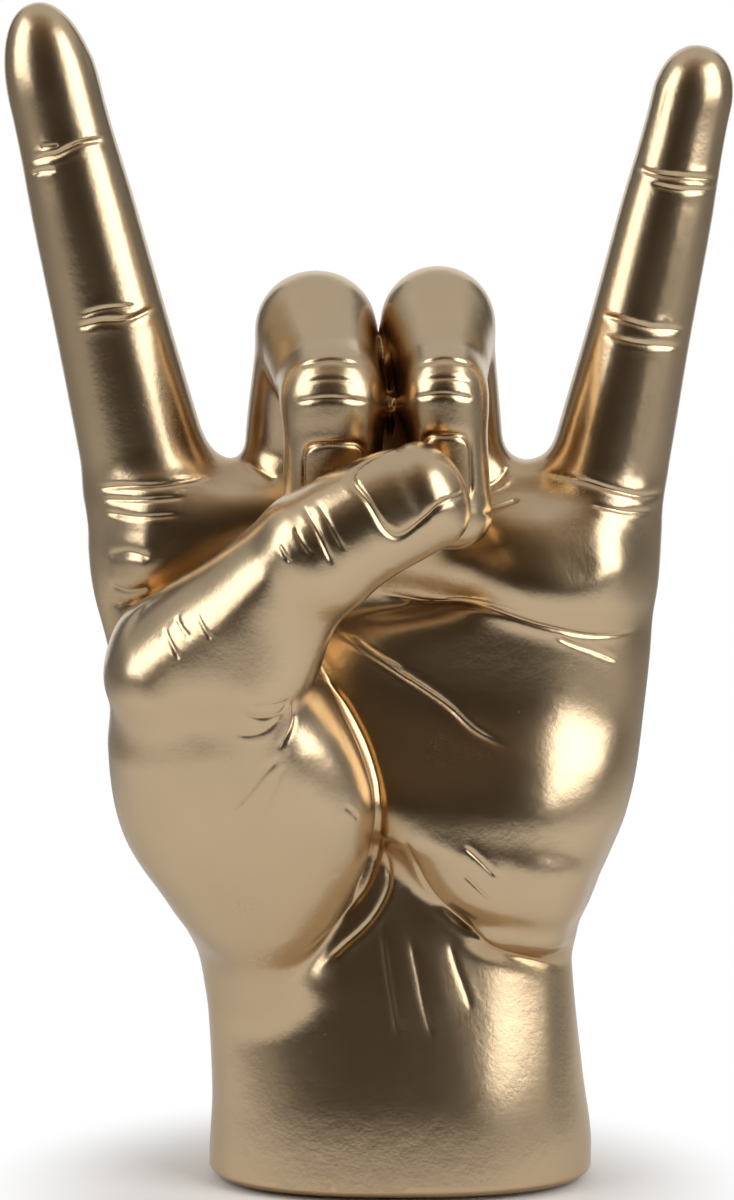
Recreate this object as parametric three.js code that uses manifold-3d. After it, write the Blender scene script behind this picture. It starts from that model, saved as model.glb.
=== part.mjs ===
// A left hand cast in resin. It stands upright on its flat cut wrist with the palm to the front and
// makes the horned rock salute: the index and little fingers point up, the two fingers between them
// are folded down, and the thumb lies across the folded ones.
// Sizes are millimetres. X runs across the palm from the index side to the little finger side,
// Y points to the back of the hand and Z points up. The hand is laid out from the middle of its wrist.
import * as THREE from "three";
import { mergeVertices } from "three/addons/utils/BufferGeometryUtils.js";
import Module from "manifold-3d";

const wasm = await Module();
wasm.setup();

// Wrist and palm.
const WRIST_HALF_WIDTH = 34.5;
const WRIST_HALF_DEPTH = 23;
const WAIST_HALF_WIDTH = 33;
const WAIST_LEVEL = 36;
const PALM_HALF_WIDTH = 49;
const PALM_LEVEL = 104;
const WEB_LEVEL = 121;
const PALM_ROUNDNESS = 2.4;
const RIM_RADIUS = 3;

// Straight fingers, from the middle of the root to the middle of the last section.
const INDEX_ROOT = [-42, 1, 114];
const INDEX_TIP = [-60.5, -3, 193];
const LITTLE_ROOT = [33.5, 1, 112];
const LITTLE_TIP = [51, -3, 193];
const FINGER_ROUNDNESS = 2.15;

// Joints of the folded fingers: knuckle, halfway, middle joint, end joint and tip.
const MIDDLE_JOINTS = [[-17.5, 6, 108], [-16, 1, 133], [-15, -4, 152.5], [-12, -22, 142.5], [-12, -21.5, 124]];
const RING_JOINTS = [[8, 6, 108], [7, 1, 133], [6.5, -4, 153.5], [7.5, -22, 142.5], [8.5, -21.5, 123]];
const FOLD_ROUNDNESS = 2.05;

// Joints of the thumb: root joint, middle joint and the last section under the nail.
const THUMB_ROOT = [-38, -22.5, 96];
const THUMB_JOINT = [-14.5, -36, 117];
const THUMB_TIP = [4, -37, 127];

// How widely neighbouring forms melt into each other.
const FINGER_BLEND = 7;
const LITTLE_BLEND = 5;
const PALM_BLEND = 5;
const FOLD_BLEND = 5;
const THUMB_BLEND = 9;
const THENAR_BLEND = 14;
const CREASE_BLEND = 4;
const WRIST_BLEND = 8;
const TOUCH_BLEND = 2;

// Underside: a cap in a seat, a stopper in the cap's vent and felt pads in shallow seats.
const CLEARANCE = 0.3;
const CAP_WALL = 4.5;
const CAP_THICKNESS = 3.5;
const VENT_RADIUS = 5;
const WELL_RADIUS = 7.5;
const WELL_DEPTH = 6;
const PLUG_FLANGE_RADIUS = 7.5;
const PLUG_FLANGE_THICKNESS = 1.2;
const PLUG_BARB_REACH = 0.8;
const PLUG_BARB_HEIGHT = 2.5;
const PAD_RADIUS = 5.5;
const PAD_THICKNESS = 1.5;
const PAD_PROUD = 0.6;
const PAD_MARGIN = 1.5;

// Fineness of the facets.
const CELL = 3.7;
const BLOCK = 4;
const SETTLE_SHARE = 0.35;
const OUTLINE_STEPS = 64;
const ROUND_STEPS = 40;

// Sections of the limbs. A row is the section's middle x, y, z, its half width, its depth to the front
// and its depth to the back.
const PALM = [
  [0, 0, -2, WRIST_HALF_WIDTH, WRIST_HALF_DEPTH, WRIST_HALF_DEPTH],
  [0, 0, 6, WRIST_HALF_WIDTH, WRIST_HALF_DEPTH - 0.5, WRIST_HALF_DEPTH - 0.5],
  [-0.5, 0, 17, WRIST_HALF_WIDTH - 1, WRIST_HALF_DEPTH - 2, WRIST_HALF_DEPTH - 1.5],
  [-2, 0, WAIST_LEVEL, WAIST_HALF_WIDTH, 16.5, 20],
  [-2.5, 0, WAIST_LEVEL + 8, WAIST_HALF_WIDTH + 0.5, 14.5, 18.5],
  [-2, 0, 54, 37, 12.5, 17.5],
  [-2.5, 0, 68, 42, 11, 17],
  [-3.5, 0, 86, PALM_HALF_WIDTH - 3, 10.5, 16.5],
  [-4.5, 0, PALM_LEVEL, PALM_HALF_WIDTH, 10, 16],
  [-4.5, 0, WEB_LEVEL - 6, PALM_HALF_WIDTH, 10, 14.5],
  [-4.5, 0, WEB_LEVEL, PALM_HALF_WIDTH - 1.5, 8, 11.5],
];
const KNUCKLE_PADS = [
  [-41, -2, 112.5, 9, 14, 10],
  [-18, -3, 113.5, 9, 12.5, 10],
  [8.5, -3, 113.5, 9, 12.5, 10],
  [32.5, -2, 111.5, 10, 13, 10],
];
const LITTLE_SIDE_PAD = [
  [34, -2, 97, 7, 14, 10],
  [31, -4, 83, 12, 16.5, 10],
  [25, -5, 69, 15, 18, 10],
  [19, -5, 58, 15.5, 17.5, 10],
  [19, -4, 49.5, 13, 17, 10],
  [20.5, -3, 44, 8.5, 14, 10],
];
const FOLD_FILL = [
  [-2.5, -7, 146, 14, 5, 5],
  [-2, -8, 132, 14, 6.5, 6],
  [-2, -8, 118, 15, 7, 7],
];
const THENAR = [
  [-25, -25, 95.5, 8, 16, 20],
  [-22, -22.5, 84.5, 12, 18, 20],
  [-19.5, -19, 74, 14, 18.5, 18],
  [-19, -15.5, 66, 14, 18, 18],
  [-20, -12, 59, 13.5, 17.5, 16],
  [-21.5, -8, 51.5, 11.5, 16.5, 14],
  [-22.5, -4, 44, 7, 14, 14],
];
const THUMB_BONE = [
  [-38.5, -22, 95, 12, 14.5, 18],
  [-36.5, -19.5, 85.5, 15.5, 16.5, 18],
  [-33, -14.5, 70.5, 17, 17, 16],
  [-28, -8.5, 57, 14.5, 16, 14],
  [-25.5, -5, 50, 12, 15, 14],
  [-23.5, -1.5, 42.5, 8, 13, 13],
];
const THUMB_LOWER = [
  [...THUMB_ROOT, 12, 13.5, 15],
  [-32, -26.5, 100.5, 13, 13.5, 12],
  [-24.5, -31, 106, 13, 12.5, 11.5],
  [...THUMB_JOINT, 11, 11, 10.5],
];
const THUMB_UPPER = [
  [...THUMB_JOINT, 11, 11, 10.5],
  [-7, -36.8, 122, 10.5, 10.5, 10],
  [1, -37, 126, 9.75, 9.5, 9.2],
  [...THUMB_TIP, 9.25, 9, 9],
];

// A limb is a loft along the straight line from its first to its last section. The sections are
// superellipses that follow one another smoothly, and each end closes with a round cap.
class Limb {
  constructor(sections, side, caps, power) {
    const middles = sections.map((row) => new THREE.Vector3(...row.slice(0, 3)));
    const along = middles.at(-1).clone().sub(middles[0]).normalize();
    const across = new THREE.Vector3(...side);
    across.addScaledVector(along, -across.dot(along)).normalize();
    const back = new THREE.Vector3().crossVectors(across, along);
    if (back.y < 0) back.negate();
    const offsets = middles.map((point) => point.clone().sub(middles[0]));
    this.origin = middles[0].toArray();
    this.along = along.toArray();
    this.across = across.toArray();
    this.back = back.toArray();
    this.stations = offsets.map((offset) => offset.dot(along));
    this.rows = sections.map((row, i) => [offsets[i].dot(across), offsets[i].dot(back), ...row.slice(3)]);
    const last = sections.length - 1;
    this.slopes = this.rows.map((row, i) =>
      row.map((_, c) =>
        i === 0 || i === last
          ? 0
          : (this.rows[i + 1][c] - this.rows[i - 1][c]) / (this.stations[i + 1] - this.stations[i - 1]),
      ),
    );
    this.length = this.stations[last];
    this.caps = caps;
    this.power = power;
  }

  // The section at a distance along the axis, by cubic interpolation.
  section(run) {
    const t = Math.min(Math.max(run, 0), this.length);
    let i = 0;
    while (i < this.stations.length - 2 && t >= this.stations[i + 1]) i += 1;
    const span = this.stations[i + 1] - this.stations[i];
    const r = (t - this.stations[i]) / span;
    const rise = r * r * (3 - 2 * r);
    const leave = r * (1 - r) * (1 - r) * span;
    const arrive = r * r * (r - 1) * span;
    const [from, to, leaving, arriving] = [this.rows[i], this.rows[i + 1], this.slopes[i], this.slopes[i + 1]];
    return from.map((value, c) => value * (1 - rise) + to[c] * rise + leaving[c] * leave + arriving[c] * arrive);
  }

  // Roughly how far a point lies outside the limb, negative inside.
  distance(point) {
    const offset = [point[0] - this.origin[0], point[1] - this.origin[1], point[2] - this.origin[2]];
    const run = dot(offset, this.along);
    const [acrossMiddle, backMiddle, width, front, back] = this.section(run);
    const depth = dot(offset, this.back) - backMiddle;
    const deep = depth < 0 ? front : back;
    const past = Math.max(-run, run - this.length, 0);
    const cap = run < 0 ? this.caps[0] : this.caps[1];
    const n = this.power;
    const wide = (Math.abs(dot(offset, this.across) - acrossMiddle) / width) ** (n - 1);
    const thick = (Math.abs(depth) / deep) ** (n - 1);
    const long = (past / cap) ** (n - 1);
    const lift = n / (n - 1);
    const reach = (wide ** lift + thick ** lift + long ** lift) ** (1 / n) + 1e-9;
    const slope = Math.hypot(wide / width, thick / deep, long / cap) * reach ** (1 - n) + 1e-9;
    return Math.max((reach - 1) / slope, -Math.min(width, deep));
  }
}

function dot(a, b) {
  return a[0] * b[0] + a[1] * b[1] + a[2] * b[2];
}

// Smooth joining of two distances over a blend width.
function melt(a, b, blend) {
  const near = Math.max(blend - Math.abs(a - b), 0) / blend;
  return Math.min(a, b) - (near * near * blend) / 4;
}

function ease(from, to, value) {
  const t = Math.min(Math.max((value - from) / (to - from), 0), 1);
  return t * t * (3 - 2 * t);
}

const ACROSS = [1, 0, 0];
const UPRIGHT = [0, 0, 1];

// A straight finger tapers from root to tip through evenly spaced sections.
function straightFinger(root, tip, widths, fronts, backs, caps) {
  const rows = widths.map((width, i) => {
    const share = i / (widths.length - 1);
    const middle = root.map((value, axis) => value + (tip[axis] - value) * share);
    return [...middle, width, fronts[i], backs[i]];
  });
  return new Limb(rows, ACROSS, caps, FINGER_ROUNDNESS);
}

// A folded finger is three bones: up from the knuckle, forward and down, and down to the tip.
function foldedFinger(joints, widths, depths) {
  const rows = joints.map((joint, i) => [...joint, widths[i], depths[i], depths[i]]);
  const halfway = (a, b, width, depth) => [
    ...a.slice(0, 3).map((value, axis) => (value + b[axis]) / 2),
    width,
    depth,
    depth,
  ];
  const forward = halfway(rows[2], rows[3], (widths[2] + widths[3]) / 2, (depths[2] + depths[3]) / 2);
  return [
    new Limb([rows[0], rows[1], rows[2]], ACROSS, [14, depths[2]], FOLD_ROUNDNESS),
    new Limb([rows[2], forward, rows[3]], ACROSS, [depths[2], depths[3]], FOLD_ROUNDNESS),
    new Limb([rows[3], rows[4]], ACROSS, [depths[3], 6.5], FINGER_ROUNDNESS),
  ];
}

const palm = new Limb(PALM, ACROSS, [4, 8], PALM_ROUNDNESS);
const knucklePads = new Limb(KNUCKLE_PADS, UPRIGHT, [8, 8], 2);
const foldFill = new Limb(FOLD_FILL, ACROSS, [5, 6], 2.4);
const littleSidePad = new Limb(LITTLE_SIDE_PAD, ACROSS, [6, 4], 2.2);
const thenar = new Limb(THENAR, ACROSS, [8, 6], 2.2);
const thumbBone = new Limb(THUMB_BONE, ACROSS, [8, 8], 2.1);
const thumbLower = new Limb(THUMB_LOWER, [0.6, 0, -0.8], [11, 10], 2.1);
const thumbUpper = new Limb(THUMB_UPPER, [0.35, 0, -0.94], [10, 7], 2.1);
const indexFinger = straightFinger(
  INDEX_ROOT,
  INDEX_TIP,
  [12.25, 11, 10, 9.2, 8.2],
  [12, 10.8, 9.6, 8.9, 7.8],
  [13, 10.8, 9.6, 8.4, 7.2],
  [14, 17.5],
);
const littleFinger = straightFinger(
  LITTLE_ROOT,
  LITTLE_TIP,
  [11, 10.3, 9.1, 8.2, 7],
  [11.5, 10.1, 8.7, 7.9, 6.8],
  [12, 10, 8.8, 7.7, 6.4],
  [12, 9.8],
);
const middleFinger = foldedFinger(MIDDLE_JOINTS, [11, 11.6, 10.5, 8.7, 8.4], [11, 10.5, 10.4, 9.2, 8.2]);
const ringFinger = foldedFinger(RING_JOINTS, [11, 11, 9.9, 7.1, 6.8], [11, 10.5, 10.2, 9, 8]);

// The whole hand as one distance. The thumb side melts widely into the wrist and the outer edge, and
// keeps a tight crease where it stands over the hollow of the palm.
function handDistance(point) {
  const near = (limb) => limb.distance(point);
  let hand = melt(near(palm), near(knucklePads), PALM_BLEND);
  hand = melt(hand, near(littleSidePad), PALM_BLEND + 1);
  hand = melt(hand, melt(near(middleFinger[0]), near(ringFinger[0]), 1), FOLD_BLEND);
  hand = melt(hand, near(foldFill), TOUCH_BLEND);
  hand = melt(hand, near(indexFinger), FINGER_BLEND);
  hand = melt(hand, near(littleFinger), LITTLE_BLEND);
  const middleEnd = melt(near(middleFinger[1]), near(middleFinger[2]), TOUCH_BLEND);
  const ringEnd = melt(near(ringFinger[1]), near(ringFinger[2]), TOUCH_BLEND);
  hand = melt(hand, Math.min(middleEnd, ringEnd), 1);
  let thumb = melt(near(thumbBone), near(thumbLower), THUMB_BLEND);
  thumb = melt(thumb, near(thenar), THENAR_BLEND);
  thumb = melt(thumb, near(thumbUpper), TOUCH_BLEND);
  const [x, , z] = point;
  const outer = Math.max(1 - ease(-38, -22, x), 1 - ease(34, 48, z));
  const blend = z > PALM_LEVEL ? TOUCH_BLEND : CREASE_BLEND + (WRIST_BLEND - CREASE_BLEND) * outer;
  return melt(hand, thumb, blend);
}

// Corners of a grid cell, and whether the corners with one sign all hang together along its edges.
const CORNERS = Array.from({ length: 8 }, (_, i) => [i & 1, (i >> 1) & 1, (i >> 2) & 1]);

function hangsTogether(members) {
  if (members.length < 2) return true;
  const reached = new Set([members[0]]);
  for (const corner of reached)
    for (const bit of [1, 2, 4]) if (members.includes(corner ^ bit)) reached.add(corner ^ bit);
  return reached.size === members.length;
}

const SPLIT_CELLS = Array.from({ length: 256 }, (_, mask) => {
  const inside = CORNERS.map((_, i) => i).filter((i) => mask & (1 << i));
  const outside = CORNERS.map((_, i) => i).filter((i) => !(mask & (1 << i)));
  return !hangsTogether(inside) || !hangsTogether(outside);
});

// A closed skin over a distance: one vertex in each grid cell that the surface crosses, pulled onto
// the surface, and one four sided face round each grid edge that it crosses.
function skin(distance, low, high, cell) {
  const count = low.map((value, axis) => Math.ceil((high[axis] - value) / cell) + 1);
  const stride = [1, count[0], count[0] * count[1]];
  const value = new Float64Array(stride[2] * count[2]);
  const place = (i, j, k) => [low[0] + i * cell, low[1] + j * cell, low[2] + k * cell];
  const each = (trimmed, step, visit) => {
    for (let k = 0; k < count[2] - trimmed; k += step)
      for (let j = 0; j < count[1] - trimmed; j += step)
        for (let i = 0; i < count[0] - trimmed; i += step) visit(i, j, k, i + j * stride[1] + k * stride[2]);
  };

  // A coarse block far from the surface has one value, and the others are worked out point by point.
  each(0, BLOCK, (i, j, k) => {
    const middle = distance(place(i + (BLOCK - 1) / 2, j + (BLOCK - 1) / 2, k + (BLOCK - 1) / 2));
    const far = Math.abs(middle) > cell * BLOCK * 1.5;
    for (let c = k; c < Math.min(k + BLOCK, count[2]); c += 1)
      for (let b = j; b < Math.min(j + BLOCK, count[1]); b += 1)
        for (let a = i; a < Math.min(i + BLOCK, count[0]); a += 1)
          value[a + b * stride[1] + c * stride[2]] = far ? middle : distance(place(a, b, c));
  });
  const corner = CORNERS.map(([i, j, k]) => i + j * stride[1] + k * stride[2]);
  const maskOf = (at) => corner.reduce((mask, step, c) => mask | ((value[at + step] < 0) << c), 0);

  // Where two sheets would share a cell, the outside corner nearest to the surface is filled.
  let filled = true;
  while (filled) {
    filled = false;
    each(1, 1, (i, j, k, at) => {
      const mask = maskOf(at);
      if (!SPLIT_CELLS[mask]) return;
      const outside = corner.filter((_, c) => !(mask & (1 << c)));
      const nearest = outside.reduce((a, b) => (value[at + b] < value[at + a] ? b : a));
      value[at + nearest] = -cell / 9;
      filled = true;
    });
  }

  const vertices = [];
  const indexOf = new Map();
  each(1, 1, (i, j, k, at) => {
    const mask = maskOf(at);
    if (mask === 0 || mask === 255) return;
    const sum = [0, 0, 0];
    let crossings = 0;
    for (let a = 0; a < 8; a += 1)
      for (const [axis, bit] of [1, 2, 4].entries()) {
        const b = a | bit;
        if (b === a || !(mask & (1 << a)) === !(mask & (1 << b))) continue;
        const share = value[at + corner[a]] / (value[at + corner[a]] - value[at + corner[b]]);
        for (let c = 0; c < 3; c += 1) sum[c] += CORNERS[a][c] + (c === axis ? share : 0);
        crossings += 1;
      }
    const point = place(i + sum[0] / crossings, j + sum[1] / crossings, k + sum[2] / crossings);
    indexOf.set(at, vertices.length / 3);
    vertices.push(...settle(distance, point, cell));
  });

  const faces = [];
  const gap = (a, b) => Math.hypot(...[0, 1, 2].map((c) => vertices[3 * a + c] - vertices[3 * b + c]));
  each(0, 1, (i, j, k, at) => {
    for (let axis = 0; axis < 3; axis += 1) {
      if ([i, j, k][axis] === count[axis] - 1) continue;
      const inside = value[at] < 0;
      if (inside === value[at + stride[axis]] < 0) continue;
      const [second, third] = [stride[(axis + 1) % 3], stride[(axis + 2) % 3]];
      const ring = [at, at - second, at - second - third, at - third].map((cellAt) => indexOf.get(cellAt));
      if (!inside) ring.reverse();
      const turn = gap(ring[0], ring[2]) <= gap(ring[1], ring[3]) ? 0 : 1;
      const [a, b, c, d] = [0, 1, 2, 3].map((step) => ring[(step + turn) % 4]);
      faces.push(a, b, c, a, c, d);
    }
  });
  const geometry = new THREE.BufferGeometry();
  geometry.setAttribute("position", new THREE.Float32BufferAttribute(vertices, 3));
  geometry.setIndex(faces);
  return geometry;
}

// Moves a point along the slope of the distance until it lies on the surface.
function settle(distance, start, cell) {
  const step = 0.05;
  const here = distance(start);
  const slope = [0, 1, 2].map((axis) => {
    const ahead = [...start];
    ahead[axis] += step;
    return (distance(ahead) - here) / step;
  });
  const steep = Math.max(dot(slope, slope), 0.3);
  const moved = (amount) => start.map((value, axis) => value - (slope[axis] * amount) / steep);
  const total = here + distance(moved(here));
  const longest = SETTLE_SHARE * cell * Math.sqrt(steep);
  return moved(Math.min(Math.max(total, -longest), longest));
}

// Joining and cutting of closed geometries.
function solid(geometry) {
  const bare = geometry.clone();
  bare.deleteAttribute("normal");
  bare.deleteAttribute("uv");
  const merged = mergeVertices(bare, 1e-4);
  const vertProperties = new Float32Array(merged.attributes.position.array);
  const triVerts = new Uint32Array(merged.index.array);
  return new wasm.Manifold(new wasm.Mesh({ numProp: 3, vertProperties, triVerts }));
}

function geometryOf(body) {
  const mesh = body.getMesh();
  const geometry = new THREE.BufferGeometry();
  geometry.setAttribute("position", new THREE.BufferAttribute(mesh.vertProperties, 3));
  geometry.setIndex(new THREE.BufferAttribute(mesh.triVerts, 1));
  geometry.computeVertexNormals();
  return geometry;
}

// The outline of the wrist drawn in by a distance, as a plate between two levels.
function wristPoint(turn, inset) {
  const bend = (value) => Math.sign(value) * Math.abs(value) ** (2 / PALM_ROUNDNESS);
  return new THREE.Vector2(
    (WRIST_HALF_WIDTH - inset) * bend(Math.cos(turn)),
    (WRIST_HALF_DEPTH - inset) * bend(Math.sin(turn)),
  );
}

function wristOutline(inset) {
  const turns = Array.from({ length: OUTLINE_STEPS }, (_, i) => (i / OUTLINE_STEPS) * 2 * Math.PI);
  return new THREE.Shape(turns.map((turn) => wristPoint(turn, inset)));
}

function wristPlate(inset, bottom, top) {
  const plate = new THREE.ExtrudeGeometry(wristOutline(inset), { depth: top - bottom, bevelEnabled: false });
  return plate.translate(0, 0, bottom);
}

function disc(radius, bottom, top, x = 0, y = 0) {
  const round = new THREE.CylinderGeometry(radius, radius, top - bottom, ROUND_STEPS);
  return round.rotateX(Math.PI / 2).translate(x, y, (top + bottom) / 2);
}

// Felt pads lie inside the cap's outline, one in each quarter.
const padSpots = [1, 3, 5, 7].map((eighth) => {
  const turn = (eighth * Math.PI) / 4;
  const edge = wristPoint(turn, CAP_WALL);
  const outward = new THREE.Vector2(Math.cos(turn) * WRIST_HALF_DEPTH, Math.sin(turn) * WRIST_HALF_WIDTH);
  return edge.addScaledVector(outward.normalize(), -(PAD_RADIUS + PAD_MARGIN));
});
const padTop = PAD_THICKNESS - PAD_PROUD;

const LOW = [-80, -60, -16];
const HIGH = [72, 34, 222];
const seatDepth = CAP_THICKNESS + CLEARANCE;
const flangeSeat = PLUG_FLANGE_THICKNESS + CLEARANCE;

// What the casting may fill: everything over the rim, and below it a body with a rounded lower edge.
const rimBody = new THREE.ExtrudeGeometry(wristOutline(RIM_RADIUS), {
  depth: RIM_RADIUS,
  bevelThickness: RIM_RADIUS,
  bevelSize: RIM_RADIUS + CLEARANCE,
  bevelSegments: 3,
});
const above = new THREE.BoxGeometry(2 * HIGH[2], 2 * HIGH[2], HIGH[2]).translate(0, 0, RIM_RADIUS + HIGH[2] / 2);
const room = solid(above).add(solid(rimBody.translate(0, 0, RIM_RADIUS)));

const casting = solid(skin(handDistance, LOW, HIGH, CELL))
  .intersect(room)
  .subtract(solid(wristPlate(CAP_WALL - CLEARANCE, -1, seatDepth)))
  .subtract(solid(disc(WELL_RADIUS, 1, seatDepth + WELL_DEPTH)));

const cap = padSpots.reduce(
  (body, spot) => body.subtract(solid(disc(PAD_RADIUS + CLEARANCE, -1, padTop + CLEARANCE, spot.x, spot.y))),
  solid(wristPlate(CAP_WALL, 0, CAP_THICKNESS))
    .subtract(solid(disc(VENT_RADIUS, -1, CAP_THICKNESS + 1)))
    .subtract(solid(disc(PLUG_FLANGE_RADIUS + CLEARANCE, -1, flangeSeat))),
);

// The stopper's flange fills the seat under the vent, its stem passes the vent and its barb spreads
// over the cap inside the well.
const stem = VENT_RADIUS - CLEARANCE;
const barbLevel = CAP_THICKNESS + CLEARANCE;
const stopperProfile = [
  [0, 0],
  [PLUG_FLANGE_RADIUS, 0],
  [PLUG_FLANGE_RADIUS, PLUG_FLANGE_THICKNESS],
  [stem, PLUG_FLANGE_THICKNESS],
  [stem, barbLevel],
  [VENT_RADIUS + PLUG_BARB_REACH, barbLevel],
  [stem, barbLevel + PLUG_BARB_HEIGHT],
  [0, barbLevel + PLUG_BARB_HEIGHT],
].map(([radius, level]) => new THREE.Vector2(radius, level));
const stopper = new THREE.LatheGeometry(stopperProfile, ROUND_STEPS).rotateX(Math.PI / 2);

const gold = new THREE.MeshStandardMaterial({ color: 0xb59763, roughness: 0.3, metalness: 1 });
const rawResin = new THREE.MeshStandardMaterial({ color: 0x2b2723, roughness: 0.6, metalness: 0 });
const rubber = new THREE.MeshStandardMaterial({ color: 0x1d1d1f, roughness: 0.8, metalness: 0 });
const felt = new THREE.MeshStandardMaterial({ color: 0x37302a, roughness: 1, metalness: 0 });

const hand = new THREE.Group();

function addPiece(name, geometry, material) {
  const mesh = new THREE.Mesh(geometry, material.clone());
  mesh.name = name;
  hand.add(mesh);
  return mesh;
}

addPiece("hand_casting", geometryOf(casting), gold);
addPiece("base_cap", geometryOf(cap), rawResin);
addPiece("vent_stopper", stopper, rubber);
const padNames = ["felt_pad_back_right", "felt_pad_back_left", "felt_pad_front_left", "felt_pad_front_right"];
padNames.forEach((name, i) => {
  const pad = addPiece(name, disc(PAD_RADIUS, -PAD_PROUD, padTop), felt);
  pad.position.set(padSpots[i].x, padSpots[i].y, 0);
});

// The part's origin is on the ground under the middle of the hand's outer box.
const box = new THREE.Box3().setFromObject(hand);
const middle = box.getCenter(new THREE.Vector3());
hand.position.set(-middle.x, -middle.y, PAD_PROUD);

const part = new THREE.Group();
part.add(hand);

export default part;
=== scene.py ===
"""A gold painted cast hand that makes the horned salute, with its base fittings and a small studio."""

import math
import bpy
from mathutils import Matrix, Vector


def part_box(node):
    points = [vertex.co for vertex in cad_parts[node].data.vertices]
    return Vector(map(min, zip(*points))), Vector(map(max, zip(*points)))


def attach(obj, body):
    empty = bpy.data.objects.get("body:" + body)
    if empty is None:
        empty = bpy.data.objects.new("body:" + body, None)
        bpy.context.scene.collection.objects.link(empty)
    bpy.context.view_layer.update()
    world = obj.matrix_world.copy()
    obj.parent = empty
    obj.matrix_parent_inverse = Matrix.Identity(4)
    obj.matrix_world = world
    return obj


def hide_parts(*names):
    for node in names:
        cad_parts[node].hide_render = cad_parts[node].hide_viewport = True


bl_info = {
    "name": "Cast hand ornament",
    "version": (1, 0, 0),
    "blender": (4, 5, 0),
    "location": "View3D > Sidebar > Hand",
    "description": "Sculpts the cast hand, finishes its base and sets the studio round it",
    "category": "Add Mesh",
}

import bmesh
import bpy
import numpy as np
from bpy.props import FloatProperty, FloatVectorProperty, PointerProperty
from mathutils import Vector

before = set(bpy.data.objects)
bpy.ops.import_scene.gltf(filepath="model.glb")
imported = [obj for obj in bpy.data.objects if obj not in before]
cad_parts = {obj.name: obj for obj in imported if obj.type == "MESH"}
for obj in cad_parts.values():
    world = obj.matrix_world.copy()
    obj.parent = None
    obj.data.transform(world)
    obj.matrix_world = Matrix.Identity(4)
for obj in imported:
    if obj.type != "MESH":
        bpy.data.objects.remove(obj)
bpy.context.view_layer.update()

MM = 0.001
CAP_LOW, CAP_HIGH = (np.array(corner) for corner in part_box("base_cap"))
CASTING_LOW = np.array(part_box("hand_casting")[0])
# The hand is laid out in millimetres from the middle of its cut wrist, and SHIFT takes it to the frame.
SHIFT = np.array([*(CAP_LOW + CAP_HIGH)[:2] / 2, CASTING_LOW[2]]) / MM

# The photograph's frame and the camera that saw it, in the hand's millimetres.
PHOTO_WIDTH, PHOTO_HEIGHT = 734, 1200
CAMERA_TARGET = np.array([-6.006, 0.0, 104.16])
CAMERA_REACH = 880.0
CAMERA_RISE = math.radians(7.5)
SENSOR = 36.0
LENS = 147.87

# Named sizes of the hand, as in the solids.
WRIST_WIDE, WRIST_DEEP = 34.5, 23.0
WAIST_WIDE, WAIST_LEVEL = 33.0, 36.0
PALM_WIDE, PALM_LEVEL, WEB_LEVEL = 49.0, 104.0, 121.0
PALM_POWER, FINGER_POWER, FOLD_POWER = 2.4, 2.15, 2.05
FOLD_ROOT_CAP, FOLD_TIP_CAP = 14, 6.5
RIM_RADIUS = 3.0
CAP_WALL, CLEARANCE = 4.5, 0.3
CAP_THICKNESS = (CAP_HIGH - CAP_LOW)[2] / MM
WELL_RADIUS, WELL_DEPTH = 7.5, 6.0
ROOF_LEVEL = 230.0

INDEX_ROOT, INDEX_TIP = [-42, 1, 114], [-60.5, -3, 193]
LITTLE_ROOT, LITTLE_TIP = [33.5, 1, 112], [51, -3, 193]
MIDDLE_JOINTS = [[-17.5, 6, 108], [-16, 1, 133], [-15, -4, 152.5], [-12, -22, 142.5], [-12, -21.5, 124]]
RING_JOINTS = [[8, 6, 108], [7, 1, 133], [6.5, -4, 153.5], [7.5, -22, 142.5], [8.5, -21.5, 123]]
THUMB_ROOT, THUMB_JOINT, THUMB_TIP = [-38, -22.5, 96], [-14.5, -36, 117], [4, -37, 127]

# Sections: middle x, y, z, half width, depth to the front, depth to the back.
PALM = [
    [0, 0, -2, WRIST_WIDE, WRIST_DEEP, WRIST_DEEP],
    [0, 0, 6, WRIST_WIDE, WRIST_DEEP - 0.5, WRIST_DEEP - 0.5],
    [-0.5, 0, 17, WRIST_WIDE - 1, WRIST_DEEP - 2, WRIST_DEEP - 1.5],
    [-2, 0, WAIST_LEVEL, WAIST_WIDE, 16.5, 20],
    [-2.5, 0, WAIST_LEVEL + 8, WAIST_WIDE + 0.5, 14.5, 18.5],
    [-2, 0, 54, 37, 12.5, 17.5],
    [-2.5, 0, 68, 42, 11, 17],
    [-3.5, 0, 86, PALM_WIDE - 3, 10.5, 16.5],
    [-4.5, 0, PALM_LEVEL, PALM_WIDE, 10, 16],
    [-4.5, 0, WEB_LEVEL - 6, PALM_WIDE, 10, 14.5],
    [-4.5, 0, WEB_LEVEL, PALM_WIDE - 1.5, 8, 11.5],
]
KNUCKLE_PADS = [
    [-41, -2, 115.5, 12, 13, 10],
    [-18, -3, 117.5, 9.5, 11, 10],
    [8.5, -3, 115.2, 8.5, 11, 10],
    [32.5, -2, 112.5, 10.5, 12, 10],
]
LITTLE_SIDE_PAD = [
    [28, -3, 106, 11.5, 8.5, 10],
    [17, -3.5, 98, 23, 8, 10],
    [11.5, -4, 88, 28, 8.6, 10],
    [11, -4.6, 78, 28, 12, 10],
    [10.3, -5, 70, 27.2, 14.8, 10],
    [12.5, -5, 64, 23, 15.8, 10],
    [17, -5, 59, 17.5, 16.3, 10],
    [19, -4, 52, 13.7, 16.3, 10],
    [20.8, -3, 46.5, 9.7, 14, 10],
]
FOLD_FILL = [
    [-2.5, -7, 146, 14, 5, 5],
    [-2, -8, 132, 14, 6.5, 6],
    [-2, -8, 118, 15, 7, 7],
]
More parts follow.
